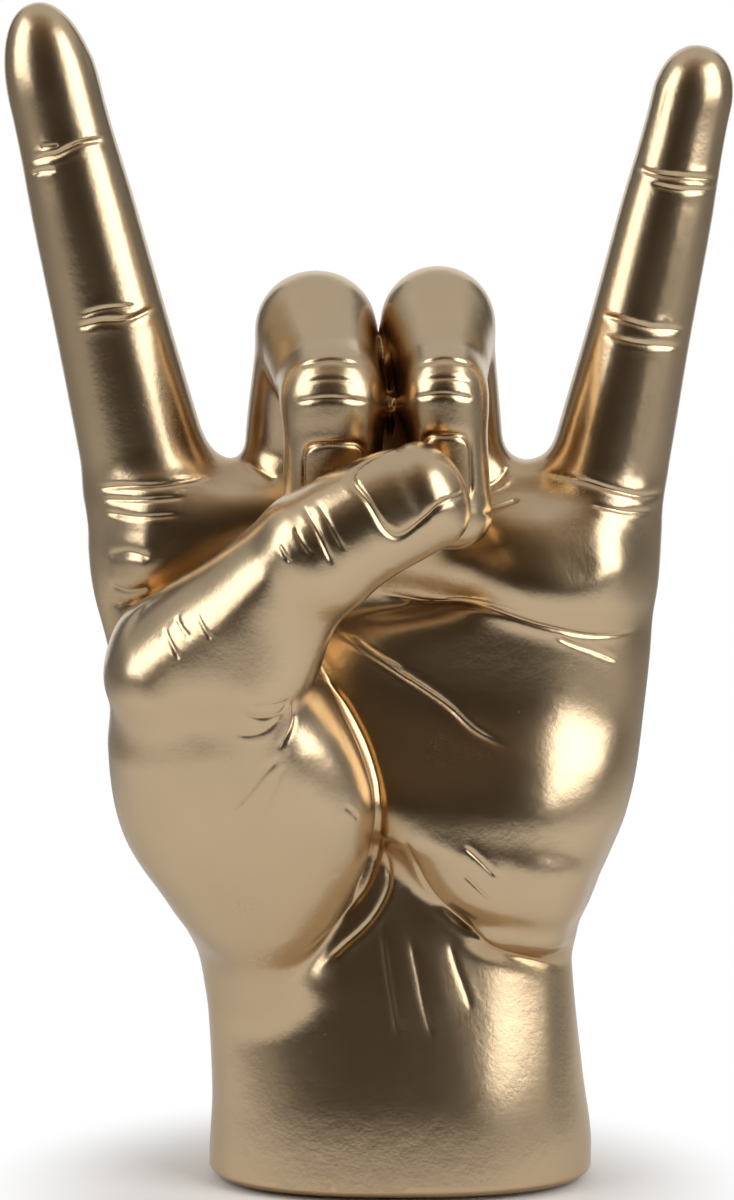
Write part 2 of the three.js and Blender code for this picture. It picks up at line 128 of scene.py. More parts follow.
THENAR = [
    [-25, -29, 95.5, 8, 11.8, 24],
    [-22, -28, 84.5, 12, 11, 24],
    [-19.5, -25.5, 74, 14, 10.8, 24],
    [-19, -22, 66, 14, 10.8, 22],
    [-20, -18, 59, 13.5, 10.8, 20],
    [-21.5, -13, 51.5, 11.5, 10.5, 16],
    [-22.5, -8, 44, 7, 9.5, 14],
]
THUMB_BONE = [
    [-38.5, -22, 95, 12, 14.5, 18],
    [-36.5, -19.5, 85.5, 15.5, 16.5, 18],
    [-33, -14.5, 70.5, 17, 17, 16],
    [-28, -8.5, 57, 14.5, 16, 14],
    [-25.5, -5, 50, 12, 15, 14],
    [-23.5, -1.5, 42.5, 8, 13, 13],
]
THUMB_LOWER = [
    [*THUMB_ROOT, 12, 13.5, 15],
    [-32, -26.5, 100.5, 13, 13.5, 12],
    [-24.5, -31, 106, 13, 12.5, 11.5],
    [*THUMB_JOINT, 11, 11, 10.5],
]
THUMB_UPPER = [
    [*THUMB_JOINT, 11, 11, 10.5],
    [-7, -36.8, 122, 10.5, 10.5, 10],
    [1, -37, 126, 9.75, 9.5, 9.2],
    [*THUMB_TIP, 9.25, 9, 9],
]
ACROSS, UPRIGHT = [1, 0, 0], [0, 0, 1]

# Lines in the skin as the photograph shows them, by its pixels: half width and depth in millimetres,
# how far the skin beside them swells, then the points.
CREASES = {
    "index end joint": (0.55, 0.5, 0.22, [(31, 161), (45, 157), (58, 154), (80, 144), (106, 139)]),
    "index end joint lower": (0.45, 0.3, 0.15, [(31, 174), (42, 171), (56, 170)]),
    "index end joint upper": (0.4, 0.2, 0.1, [(40, 148), (60, 145)]),
    "index middle joint": (0.55, 0.4, 0.2, [(76, 328), (100, 322), (128, 320), (158, 306)]),
    "index middle joint upper": (0.45, 0.28, 0.14, [(80, 316), (104, 309), (138, 306)]),
    "index root": (0.6, 0.5, 0.2, [(98, 488), (130, 486), (165, 484), (210, 477)]),
    "index root second": (0.5, 0.35, 0.15, [(102, 499), (140, 500), (186, 497)]),
    "index root third": (0.5, 0.3, 0.15, [(104, 512), (140, 517), (182, 515)]),
    "index pad fold": (0.8, 0.35, 0.2, [(108, 556), (130, 552), (152, 558)]),
    "index pad fold lower": (0.8, 0.4, 0.25, [(110, 584), (130, 590), (150, 586)]),
    "little end joint": (0.55, 0.5, 0.22, [(636, 166), (652, 173), (680, 177), (716, 180)]),
    "little end joint lower": (0.45, 0.3, 0.15, [(650, 184), (680, 190), (714, 190)]),
    "little middle joint": (0.55, 0.42, 0.2, [(600, 314), (625, 321), (652, 328), (684, 330)]),
    "little middle joint lower": (0.5, 0.32, 0.16, [(604, 336), (640, 344), (680, 347)]),
    "little root": (0.6, 0.5, 0.2, [(548, 474), (583, 481), (612, 490), (640, 496), (664, 493)]),
    "little root lower": (0.5, 0.3, 0.15, [(590, 506), (620, 512), (650, 511)]),
    "middle end joint": (0.5, 0.3, 0.16, [(300, 366), (330, 360), (360, 364)]),
    "middle end joint lower": (0.45, 0.25, 0.14, [(296, 402), (330, 398), (368, 402)]),
    "middle end joint mid": (0.4, 0.14, 0.1, [(304, 382), (332, 379), (362, 383)]),
    "ring end joint": (0.5, 0.3, 0.16, [(420, 364), (446, 359), (474, 365)]),
    "ring end joint lower": (0.45, 0.25, 0.14, [(414, 398), (444, 394), (474, 399)]),
    "ring end joint mid": (0.4, 0.14, 0.1, [(420, 381), (446, 378), (474, 382)]),
    "fold seam": (0.5, 0.4, 0.1, [(380, 332), (385, 370), (389, 408), (391, 440)]),
    "middle base": (0.6, 0.4, 0.2, [(246, 460), (260, 470), (276, 480)]),
    "ring base": (0.6, 0.4, 0.2, [(486, 488), (498, 481), (508, 468)]),
    "ring base arc": (0.7, 0.4, 0.2, [(480, 513), (500, 509), (520, 502)]),
    "thumb joint": (0.5, 0.3, 0.16, [(303, 505), (318, 532), (334, 566)]),
    "thumb joint second": (0.45, 0.22, 0.12, [(294, 526), (302, 542), (312, 556)]),
    "thumb joint third": (0.4, 0.18, 0.1, [(279, 544), (284, 553), (289, 563)]),
    "thumb joint fourth": (0.4, 0.18, 0.1, [(318, 503), (332, 528), (345, 552)]),
    "thumb root": (0.5, 0.25, 0.12, [(176, 616), (182, 628), (190, 638)]),
    "thumb root second": (0.45, 0.2, 0.1, [(164, 628), (172, 645), (180, 660)]),
    "thumb root third": (0.4, 0.16, 0.08, [(196, 612), (204, 628), (212, 640)]),
    "web arc": (0.55, 0.15, 0.1, [(232, 734), (250, 735), (266, 730), (280, 716), (290, 695)]),
    "web crease": (0.4, 0.2, 0.1, [(240, 712), (262, 718), (284, 712)]),
    "web crease second": (0.4, 0.16, 0.08, [(250, 702), (270, 706), (290, 700)]),
    "web line": (0.5, 0.3, 0.15, [(292, 699), (293, 718), (287, 735), (278, 750)]),
    "thenar fold": (0.55, 0.22, 0.12, [(280, 756), (262, 776), (246, 796), (228, 814)]),
    "thenar fold second": (0.5, 0.2, 0.1, [(282, 766), (276, 784), (268, 802), (260, 820)]),
    "thenar nick": (0.4, 0.2, 0.1, [(345, 806), (352, 812), (358, 819)]),
    "life line": (0.6, 0.3, 0.1, [(312, 669), (330, 685), (345, 702), (357, 722), (367, 743), (374, 764),
                                  (379, 784), (381, 805), (381, 825), (377, 855), (367, 886), (347, 911),
                                  (314, 950)]),
    "life line outer": (0.55, 0.35, 0.2, [(385, 850), (389, 868), (389, 886), (379, 909), (364, 928),
                                        (345, 945), (320, 968)]),
    "heart line": (0.55, 0.42, 0.2, [(376, 592), (405, 597), (437, 602), (476, 607), (514, 612), (552, 621),
                                   (581, 628), (606, 631), (632, 631)]),
    "heart branch": (0.5, 0.3, 0.15, [(552, 628), (568, 638), (590, 648), (614, 660)]),
    "head line": (0.55, 0.35, 0.18, [(337, 631), (354, 643), (370, 654), (398, 672), (426, 690), (449, 707),
                                   (472, 730), (490, 742), (508, 751)]),
    "head line second": (0.45, 0.2, 0.1, [(352, 636), (378, 655), (404, 670)]),
    "palm nick": (0.4, 0.3, 0.14, [(464, 846), (480, 860), (497, 877)]),
    "palm nick second": (0.4, 0.28, 0.14, [(462, 872), (476, 886), (492, 902)]),
    "pad ledge": (0.7, 0.5, 0.3, [(403, 835), (414, 858), (433, 892), (467, 925), (495, 948), (541, 961),
                                 (559, 964)]),
    "wrist line": (0.6, 0.14, 0.08, [(382, 928), (386, 960), (392, 1000), (399, 1040)]),
    "wrist line second": (0.6, 0.12, 0.08, [(410, 936), (417, 970), (425, 1010), (433, 1040)]),
    "wrist line third": (0.6, 0.12, 0.07, [(449, 939), (456, 965), (465, 990), (472, 1012)]),
}

# The same on the back of the hand, by x and z in millimetres.
BACK_CREASES = {
    "index end knuckle": (0.5, 0.3, 0.16, [(-64.5, 170), (-58, 169), (-47, 171)]),
    "index end knuckle lower": (0.5, 0.25, 0.14, [(-63.5, 166.5), (-57, 165.6), (-46.5, 167.5)]),
    "index middle knuckle": (0.6, 0.35, 0.2, [(-57, 143), (-50, 141.5), (-41, 143)]),
    "index middle knuckle lower": (0.6, 0.35, 0.2, [(-56.5, 139), (-49, 137.8), (-40.5, 139)]),
    "index middle knuckle upper": (0.5, 0.25, 0.14, [(-57.5, 147), (-51, 145.8), (-42, 147)]),
    "little end knuckle": (0.5, 0.3, 0.16, [(39, 169), (47, 167.6), (53, 168.4)]),
    "little end knuckle lower": (0.5, 0.25, 0.14, [(38.5, 165.4), (46.5, 164), (52.5, 165)]),
    "little middle knuckle": (0.6, 0.35, 0.2, [(33, 142), (41, 140.6), (48.5, 142)]),
    "little middle knuckle lower": (0.6, 0.3, 0.18, [(32.5, 138.4), (40, 137), (47.5, 138.2)]),
    "little middle knuckle upper": (0.5, 0.25, 0.14, [(34, 145.8), (42, 144.4), (49, 145.8)]),
    "wrist back": (0.8, 0.25, 0.2, [(-26, 26), (-8, 24), (10, 24), (26, 26.5)]),
    "wrist back upper": (0.7, 0.2, 0.16, [(-24, 31), (-6, 29.4), (12, 29.6), (25, 31.6)]),
}

# Soft ridges: half width and height in millimetres, then the points by the photograph's pixels.
FRONT_SWELLS = {
    "index pad": (4.5, 0.5, [(123, 572), (140, 568)]),
    "index pad lower": (5.0, 0.6, [(122, 616), (142, 612)]),
    "little pad": (3.5, 0.45, [(600, 500), (632, 506)]),
    "little pad lower": (3.0, 0.35, [(604, 566), (628, 560)]),
    "thenar ridge": (4.0, 0.5, [(284, 760), (304, 790), (324, 830), (340, 870)]),
    "wrist tendon": (2.8, 0.3, [(396, 925), (403, 970), (412, 1030)]),
    "wrist tendon second": (2.8, 0.3, [(428, 935), (437, 975), (448, 1025)]),
    "palm crest": (4.0, 0.4, [(420, 560), (470, 575), (530, 590), (590, 600)]),
    "little side crest": (16.0, 3.4, [(540, 610), (538, 680), (536, 760)]),
}
# The same on the back, by x and z in millimetres.
BACK_SWELLS = {
    "index knuckle": (6.0, 1.1, [(-38, 118), (-37, 113)]),
    "middle knuckle": (6.0, 1.3, [(-16.5, 120), (-16, 114)]),
    "ring knuckle": (5.5, 1.2, [(7.5, 119), (7, 113)]),
    "little knuckle": (5.0, 1.0, [(30.5, 115), (29.5, 110)]),
    "index tendon": (2.8, 0.9, [(-36, 108), (-28, 84), (-18, 56), (-12, 38)]),
    "middle tendon": (2.8, 1.1, [(-15.5, 108), (-12, 84), (-8, 56), (-6, 38)]),
    "ring tendon": (2.8, 1.0, [(6.5, 107), (4, 84), (1, 56), (-1, 38)]),
    "little tendon": (2.6, 0.8, [(27.5, 104), (20, 82), (10, 56), (4, 38)]),
    "wrist bone": (6.5, 1.2, [(22, 31), (23, 28)]),
    "index middle joint": (5.0, 0.5, [(-52, 142), (-46, 141)]),
    "little middle joint": (4.5, 0.45, [(38, 141), (43, 141)]),
}

# Nails: the far corner at the root, the near one at the root, the near one at the tip, the far one at
# the tip. Front ones by the photograph's pixels, back ones by x and z in millimetres.
FRONT_NAILS = {
    "thumb nail": [(344, 478), (392, 546), (458, 497), (434, 444)],
    "middle nail": [(302, 446), (366, 440), (364, 506), (308, 508)],
    "ring nail": [(422, 436), (470, 434), (470, 500), (426, 502)],
}
BACK_NAILS = {
    "index nail": [(-52.6, 185), (-66, 185.4), (-67.6, 203), (-56.8, 203)],
    "little nail": [(53.6, 184.4), (42.6, 184.6), (46.4, 198), (56, 197.8)],
}


class Limb:
    """A loft along a straight axis through superellipse sections, closed by a round cap at each end."""

    def __init__(self, rows, side, caps, power):
        rows = np.array(rows, float)
        middles = rows[:, :3]
        self.origin = middles[0]
        self.along = unit(middles[-1] - middles[0])
        side = np.array(side, float)
        self.across = unit(side - self.along * (side @ self.along))
        self.back = np.cross(self.across, self.along)
        if self.back[1] < 0:
            self.back = -self.back
        offsets = middles - self.origin
        self.stations = offsets @ self.along
        self.rows = np.column_stack([offsets @ self.across, offsets @ self.back, rows[:, 3:]])
        self.slopes = np.zeros_like(self.rows)
        gaps = (self.stations[2:] - self.stations[:-2])[:, None]
        self.slopes[1:-1] = (self.rows[2:] - self.rows[:-2]) / gaps
        self.length = self.stations[-1]
        self.caps = caps
        self.power = power

    def sections(self, run):
        """The sections at the given distances along the axis, by cubic interpolation."""
        t = np.clip(run, 0, self.length)
        i = np.clip(np.searchsorted(self.stations, t, side="right") - 1, 0, len(self.stations) - 2)
        span = (self.stations[i + 1] - self.stations[i])[:, None]
        r = (t - self.stations[i])[:, None] / span
        rise = r * r * (3 - 2 * r)
        bend = self.slopes[i] * r * (1 - r) ** 2 + self.slopes[i + 1] * r * r * (r - 1)
        return self.rows[i] * (1 - rise) + self.rows[i + 1] * rise + bend * span

    def distance(self, points):
        """Roughly how far each point lies outside the limb, negative inside."""
        offset = points - self.origin
        run = offset @ self.along
        section = self.sections(run)
        across = offset @ self.across - section[:, 0]
        depth = offset @ self.back - section[:, 1]
        width = section[:, 2]
        deep = np.where(depth < 0, section[:, 3], section[:, 4])
        cap = np.where(run < 0, self.caps[0], self.caps[1])
        past = np.maximum(np.maximum(-run, run - self.length), 0)
        n = self.power
        wide = (np.abs(across) / width) ** (n - 1)
        thick = (np.abs(depth) / deep) ** (n - 1)
        far = (past / cap) ** (n - 1)
        lift = n / (n - 1)
        reach = (wide**lift + thick**lift + far**lift) ** (1 / n) + 1e-9
        slope = np.sqrt((wide / width) ** 2 + (thick / deep) ** 2 + (far / cap) ** 2)
        slope = slope * reach ** (1 - n) + 1e-9
        return np.maximum((reach - 1) / slope, -np.minimum(width, deep))


def unit(vector):
    """The same direction at length one."""
    return vector / np.linalg.norm(vector)


def melt(a, b, blend):
    """Smooth joining of two distances over a blend width."""
    near = np.maximum(blend - np.abs(a - b), 0) / blend
    return np.minimum(a, b) - near * near * blend / 4


def ease(start, end, value):
    """A smooth rise from 0 at start to 1 at end."""
    t = np.clip((value - start) / (end - start), 0, 1)
    return t * t * (3 - 2 * t)


def between(low, high, share):
    """A value part of the way from low to high."""
    return low + (high - low) * share


def bell(away, width):
    """A soft bell over a distance, 1 in the middle."""
    return np.exp(-((away / width) ** 2))


def straight_finger(root, tip, widths, fronts, backs, caps):
    """A finger that tapers from root to tip through evenly spaced sections."""
    shares = np.linspace(0, 1, len(widths))[:, None]
    middles = np.array(root) * (1 - shares) + np.array(tip) * shares
    return Limb(np.column_stack([middles, widths, fronts, backs]), ACROSS, caps, FINGER_POWER)


def folded_finger(joints, widths, depths):
    """A finger of three bones: up from the knuckle, forward and down, and down to the tip."""
    rows = np.column_stack([joints, widths, depths, depths])
    halfway = (rows[2] + rows[3]) / 2
    return [
        Limb(rows[:3], ACROSS, [FOLD_ROOT_CAP, depths[2]], FOLD_POWER),
        Limb([rows[2], halfway, rows[3]], ACROSS, [depths[2], depths[3]], FOLD_POWER),
        Limb(rows[3:], ACROSS, [depths[3], FOLD_TIP_CAP], FINGER_POWER),
    ]


palm = Limb(PALM, ACROSS, caps=[4, 8], power=PALM_POWER)
knuckle_pads = Limb(KNUCKLE_PADS, UPRIGHT, caps=[8, 8], power=2.6)
fold_fill = Limb(FOLD_FILL, ACROSS, caps=[5, 6], power=2.4)
little_side_pad = Limb(LITTLE_SIDE_PAD, ACROSS, caps=[6, 4], power=2.8)
thenar = Limb(THENAR, ACROSS, caps=[8, 6], power=1.9)
thumb_bone = Limb(THUMB_BONE, ACROSS, caps=[8, 8], power=2.1)
thumb_lower = Limb(THUMB_LOWER, side=[0.6, -0.35, -0.8], caps=[11, 10], power=1.8)
thumb_upper = Limb(THUMB_UPPER, side=[0.35, 0, -0.94], caps=[10, 7], power=2.1)
index_finger = straight_finger(
    INDEX_ROOT, INDEX_TIP, widths=[12.25, 11, 10, 9.2, 8.2],
    fronts=[12, 10.8, 9.6, 8.9, 7.8], backs=[13, 10.8, 9.6, 8.4, 7.2], caps=[14, 17.5],
)
little_finger = straight_finger(
    LITTLE_ROOT, LITTLE_TIP, widths=[11, 10.3, 9.1, 8.2, 7],
    fronts=[11.5, 10.1, 8.7, 7.9, 6.8], backs=[12, 10, 8.8, 7.7, 6.4], caps=[12, 9.8],
)
middle_finger = folded_finger(
    MIDDLE_JOINTS, widths=[11, 11.6, 10.5, 8.7, 8.4], depths=[11, 10.5, 10.4, 9.2, 8.2]
)
ring_finger = folded_finger(RING_JOINTS, widths=[11, 11, 9.9, 7.1, 6.8], depths=[11, 10.5, 10.2, 9, 8])

# How widely the forms melt into each other, in millimetres. A pair is a melt that widens.
PADS_MELT, SIDE_PAD_MELT, INDEX_MELT, LITTLE_MELT = 3.5, (3, 9), 7, 5
KNUCKLES_MELT, FOLD_MELT, FILL_MELT = 1, 5, 2
BONES_MELT, ENDS_MELT, ENDS_HAND_MELT = 2, (1, 6), 1
THUMB_MELT, THENAR_MELT, THUMB_TIP_MELT = 9, 10, 2
CROSSING_MELT, THUMB_PALM_MELT = 1.5, (2, 8)
# Where those melts widen: by z up from the side pad's foot, and down from the top of the fold and in the
# thenar's foot, and by x at the side pad's edge, where it counts for a share, and outside the thumb.
SIDE_PAD_FOOT, SIDE_PAD_EDGE, SIDE_PAD_EDGE_SHARE = (48, 64), (24, 36), 0.4
FOLD_TOP, THENAR_FOOT, THUMB_OUTER = (140, 150), (34, 48), (-38, -22)


def hand_distance(points):
    """The whole hand as one distance, with no lines in its skin yet."""
    x, z = points[:, 0], points[:, 2]
    hand = melt(palm.distance(points), knuckle_pads.distance(points), PADS_MELT)
    soft = np.maximum(ease(*SIDE_PAD_FOOT, z), SIDE_PAD_EDGE_SHARE * ease(*SIDE_PAD_EDGE, x))
    hand = melt(hand, little_side_pad.distance(points), between(*SIDE_PAD_MELT, soft))
    folded = melt(middle_finger[0].distance(points), ring_finger[0].distance(points), KNUCKLES_MELT)
    hand = melt(hand, folded, FOLD_MELT)
    hand = melt(hand, fold_fill.distance(points), FILL_MELT)
    hand = melt(hand, index_finger.distance(points), INDEX_MELT)
    hand = melt(hand, little_finger.distance(points), LITTLE_MELT)
    middle_end = melt(middle_finger[1].distance(points), middle_finger[2].distance(points), BONES_MELT)
    ring_end = melt(ring_finger[1].distance(points), ring_finger[2].distance(points), BONES_MELT)
    ends = melt(middle_end, ring_end, between(*ENDS_MELT, 1 - ease(*FOLD_TOP, z)))
    hand = melt(hand, ends, ENDS_HAND_MELT)
    thumb = melt(thumb_bone.distance(points), thumb_lower.distance(points), THUMB_MELT)
    thumb = melt(thumb, thenar.distance(points), THENAR_MELT)
    thumb = melt(thumb, thumb_upper.distance(points), THUMB_TIP_MELT)
    outer = np.maximum(1 - ease(*THUMB_OUTER, x), 1 - ease(*THENAR_FOOT, z))
    blend = np.where(z > PALM_LEVEL, CROSSING_MELT, between(*THUMB_PALM_MELT, outer))
    return melt(hand, thumb, blend)


def slope_of(distance, points, step=0.05):
    """The distance at each point and its slope."""
    here = distance(points)
    slope = np.empty_like(points)
    for axis in range(3):
        ahead = points.copy()
        ahead[:, axis] += step
        slope[:, axis] = (distance(ahead) - here) / step
    return here, slope


def settle(distance, points, rounds, longest, least_slope=0.3):
    """Points moved along the slope until they lie on the surface."""
    for _ in range(rounds):
        here, slope = slope_of(distance, points)
        steep = np.maximum((slope**2).sum(1), least_slope)
        step = np.clip(here / np.sqrt(steep), -longest, longest)
        points = points - slope * (step / np.sqrt(steep))[:, None]
    return points


# Surface nets over a grid, which is sampled in full only in the blocks of cells near the surface.
CORNERS = [(i, j, k) for i in (0, 1) for j in (0, 1) for k in (0, 1)]
GRID_LOW, GRID_HIGH = np.array([-80.0, -60.0, -16.0]), np.array([72.0, 34.0, 222.0])
BLOCK, NEAR_BLOCKS = 4, 1.5


def hangs_together(members):
    """Whether the corners of a cell that share a sign are joined along its edges."""
    reached = set(members[:1])
    grown = True
    while grown:
        more = {c ^ bit for c in reached for bit in (1, 2, 4) if c ^ bit in members}
        grown = not more <= reached
        reached |= more
    return len(reached) == len(members)


def split_cells():
    """The sign patterns of a cell in which two sheets would share one vertex."""
    table = np.zeros(256, bool)
    for mask in range(256):
        inside = [c for c in range(8) if mask >> c & 1]
        outside = [c for c in range(8) if not mask >> c & 1]
        table[mask] = not (hangs_together(inside) and hangs_together(outside))
    return table


def corner_views(values):
    """The grid seen from each of the eight corners of its cells."""
    nx, ny, nz = values.shape
    return [values[i : nx - 1 + i, j : ny - 1 + j, k : nz - 1 + k] for i, j, k in CORNERS]


def sample(distance, cell):
    """Distances on the grid: exact near the surface, one value for each block elsewhere."""
    blocks = np.ceil((GRID_HIGH - GRID_LOW) / (cell * BLOCK)).astype(int)
    index = np.argwhere(np.ones(blocks, bool))
    middle = distance(GRID_LOW + (index * BLOCK + (BLOCK - 1) / 2) * cell).reshape(blocks)
    values = middle.repeat(BLOCK, 0).repeat(BLOCK, 1).repeat(BLOCK, 2)
    near = np.abs(middle) < cell * BLOCK * NEAR_BLOCKS
    near = near.repeat(BLOCK, 0).repeat(BLOCK, 1).repeat(BLOCK, 2)
    values[near] = distance(GRID_LOW + np.argwhere(near) * cell)
    return values


def skin(distance, cell):
    """A closed skin of four sided faces over a distance: its points and its faces."""
    values = sample(distance, cell)
    split = split_cells()
    weights = [1 << c for c in range(8)]
    just_inside = -cell / 9
    while True:
        views = corner_views(values)
        mask = sum((view < 0) * weight for view, weight in zip(views, weights))
        shared = np.argwhere(split[mask])
        if not len(shared):
            break
        for i, j, k in shared:
            corners = [(values[i + a, j + b, k + c], i + a, j + b, k + c) for a, b, c in CORNERS]
            outside = [corner for corner in corners if corner[0] >= 0]
            if outside:
                values[min(outside)[1:]] = just_inside
    crossed = np.argwhere((mask > 0) & (mask < 255))
    number = np.full(mask.shape, -1)
    number[tuple(crossed.T)] = np.arange(len(crossed))
    total = np.zeros((len(crossed), 3))
    crossings = np.zeros(len(crossed))
    at = tuple(crossed.T)
    for a, start in enumerate(CORNERS):
        for axis in range(3):
            if start[axis]:
                continue
            end = list(start)
            end[axis] = 1
            first, last = views[a][at], views[CORNERS.index(tuple(end))][at]
            cut = (first < 0) != (last < 0)
            share = first[cut] / (first[cut] - last[cut])
            total[cut] += np.array(start) + share[:, None] * np.eye(3)[axis]
            crossings[cut] += 1
    points = GRID_LOW + (crossed + total / crossings[:, None]) * cell
    faces = []
    for axis in range(3):
        ahead = np.roll(values, -1, axis) < 0
        behind = values < 0
        for entering in (True, False):
            edge = behind & ~ahead if entering else ahead & ~behind
            rim = [slice(1, -1)] * 3
            kept = np.zeros_like(edge)
            kept[tuple(rim)] = edge[tuple(rim)]
            place = np.argwhere(kept)
            second, third = np.eye(3, dtype=int)[(axis + 1) % 3], np.eye(3, dtype=int)[(axis + 2) % 3]
            ring = [place, place - second, place - second - third, place - third]
            quad = np.stack([number[tuple(corner.T)] for corner in ring], 1)
            faces.append(quad if entering else quad[:, ::-1])
    return points, np.concatenate(faces)


def camera_place():
    """Where the camera stands, and its forward, right and up directions, in the hand's millimetres."""
    back = np.array([0, -math.cos(CAMERA_RISE), math.sin(CAMERA_RISE)])
    right = np.array([1.0, 0, 0])
    return CAMERA_TARGET + CAMERA_REACH * back, -back, right, np.cross(right, -back)


# A ray goes on by a share of what is left, until it is close, and has missed if it stays far off.
RAY_STEPS, RAY_SHARE, RAY_CLOSE, RAY_MISSED = 160, 0.7, 0.004, 0.3


def on_surface(starts, directions, name, distance):
    """Where rays meet a form."""
    run = np.zeros(len(starts))
    for _ in range(RAY_STEPS):
        left = distance(starts + directions * run[:, None])
        run += RAY_SHARE * left
        if np.abs(left).max() < RAY_CLOSE:
            break
    points = starts + directions * run[:, None]
    if np.abs(distance(points)).max() > RAY_MISSED:
        raise RuntimeError(name + " misses the hand")
    return points


def from_front(pixels, name, distance=hand_distance):
    """The places on a form that the photograph shows, or hides, at these pixels."""
    place, forward, right, up = camera_place()
    focal = LENS / SENSOR * PHOTO_HEIGHT
    pixels = np.array(pixels, float)
    across = (pixels[:, :1] - PHOTO_WIDTH / 2) / focal
    down = (pixels[:, 1:] - PHOTO_HEIGHT / 2) / focal
    rays = forward + right * across - up * down
    rays /= np.linalg.norm(rays, axis=1)[:, None]
    starts = place + rays * ((GRID_LOW[1] - place[1]) / rays[:, 1:2])
    return on_surface(starts, rays, name, distance)


def from_back(spots, name):
    """The places on the back of the hand at these x and z."""
    spots = np.array(spots, float)
    starts = np.column_stack([spots[:, 0], np.full(len(spots), GRID_HIGH[1]), spots[:, 1]])
    rays = np.tile([0.0, -1.0, 0.0], (len(spots), 1))
    return on_surface(starts, rays, name, hand_distance)


def smooth_line(points, spacing=3.0, straight_count=6):
    """More points along a smooth curve through the given ones, or evenly between only two."""
    points = np.array(points, float)
    if len(points) < 3:
        shares = np.linspace(0, 1, straight_count)
        return np.concatenate([points[:1] * (1 - t) + points[1:] * t for t in shares])
    padded = np.concatenate([2 * points[:1] - points[1:2], points, 2 * points[-1:] - points[-2:-1]])
    made = []
    for a, b, c, d in zip(padded, padded[1:], padded[2:], padded[3:]):
        steps = max(int(np.linalg.norm(c - b) / spacing), 2)
        for t in np.arange(steps) / steps:
            curve = (2 * a - 5 * b + 4 * c - d) * t**2
            twist = (3 * b - a - 3 * c + d) * t**3
            made.append(0.5 * (2 * b + (c - a) * t + curve + twist))
    return np.array([*made, points[-1]])


class Mark:
    """Something on the skin that reaches no further than its box."""

    def __init__(self, low, high):
        self.low, self.high = low, high

    def near(self, points):
        """Which points lie in the box."""
        return np.flatnonzero(((points > self.low) & (points < self.high)).all(1))


class Line(Mark):
    """A line on the skin, and how far points lie from it."""

    def __init__(self, points, reach):
        super().__init__(points.min(0) - reach, points.max(0) + reach)
        self.points = points

    def away(self, points):
        """The distance to the line."""
        return self.measure(points)[0]

    def end_fade(self, place, start, full):
        """A share that rises from both ends of the line."""
        return np.minimum(ease(start, full, place), ease(start, full, 1 - place))

    def measure(self, points):
        """The distance to the line, and the place along it from 0 to 1."""
        starts, steps = self.points[:-1], np.diff(self.points, axis=0)
        squares = np.maximum((steps**2).sum(1), 1e-9)
        best = np.full(len(points), 1e9)
        place = np.zeros(len(points))
        for i, (start, step, square) in enumerate(zip(starts, steps, squares)):
            t = np.clip((points - start) @ step / square, 0, 1)
            away = np.linalg.norm(points - start - t[:, None] * step, axis=1)
            closer = away < best
            best[closer] = away[closer]
            place[closer] = (i + t[closer]) / len(steps)
        return best, place


# The shares of the width, depth and swelling in the tables that the creases take.
CREASE_WIDTH, CREASE_DEPTH, CREASE_SWELL = 0.85, 0.8, 0.45
# In widths of a line: where its banks stand, how wide they are, and how far its box reaches, which for a
# crease has a margin in millimetres more.
BANK_PLACE, BANK_WIDTH, CREASE_REACH, SWELL_REACH, CREASE_MARGIN = 2.6, 1.6, 6, 2.6, 1
# Between which shares of its length a line's relief rises, at each end.
CREASE_ENDS, SWELL_ENDS = (-0.02, 0.18), (-0.1, 0.3)


class Crease(Line):
    """A pressed line with the skin swelling a little on both sides, fading at its ends."""

    def __init__(self, points, width, depth, swell):
        super().__init__(points, CREASE_REACH * width + CREASE_MARGIN)
        self.width, self.depth, self.swell = width, depth, swell

    def relief(self, points):
        """How far the skin is raised at each point, negative in the groove."""
        away, place = self.measure(points)
        groove = self.depth * bell(away, self.width)
        bank = self.swell * bell(away - BANK_PLACE * self.width, BANK_WIDTH * self.width)
        return (bank - groove) * self.end_fade(place, *CREASE_ENDS)


class Swell(Line):
    """A soft ridge along a line. A line shorter than the ridge is wide makes one round swelling."""

    def __init__(self, points, width, height):
        super().__init__(points, SWELL_REACH * width)
        self.width, self.height = width, height
        self.short = np.linalg.norm(points[-1] - points[0]) < 2 * width

    def relief(self, points):
        """How far the skin is raised at each point."""
        away, place = self.measure(points)
        fade = 1.0 if self.short else self.end_fade(place, *SWELL_ENDS)
        return self.height * bell(away, self.width) * fade


# A nail in millimetres: its height, and the groove and the bank of skin round it, each by its size, its
# place outside the nail's outline and its width. The plate's edge drops over a stretch about that outline.
NAIL_HEIGHT, NAIL_GROOVE, NAIL_BANK = 0.35, (0.34, 0.2, 0.32), (0.1, 1.3, 0.8)
NAIL_EDGE, NAIL_EDGE_MIDDLE = (-0.5, 0.15), 0.5
# Its outline's superellipse, where the skin beside it ends towards its tip, what is left of the groove
# there, and how far its box reaches, in half sizes of the nail.
NAIL_POWER, NAIL_SKIN_ENDS, NAIL_TIP_GROOVE, NAIL_REACH = 4.5, (0.55, 0.95), 0.25, 1.6
# How far down the finger's sides it reaches, and how far off its own finger, in millimetres.
NAIL_WRAP, NAIL_OWN_FINGER = (-9.0, -7.0), (0.3, 1.2)


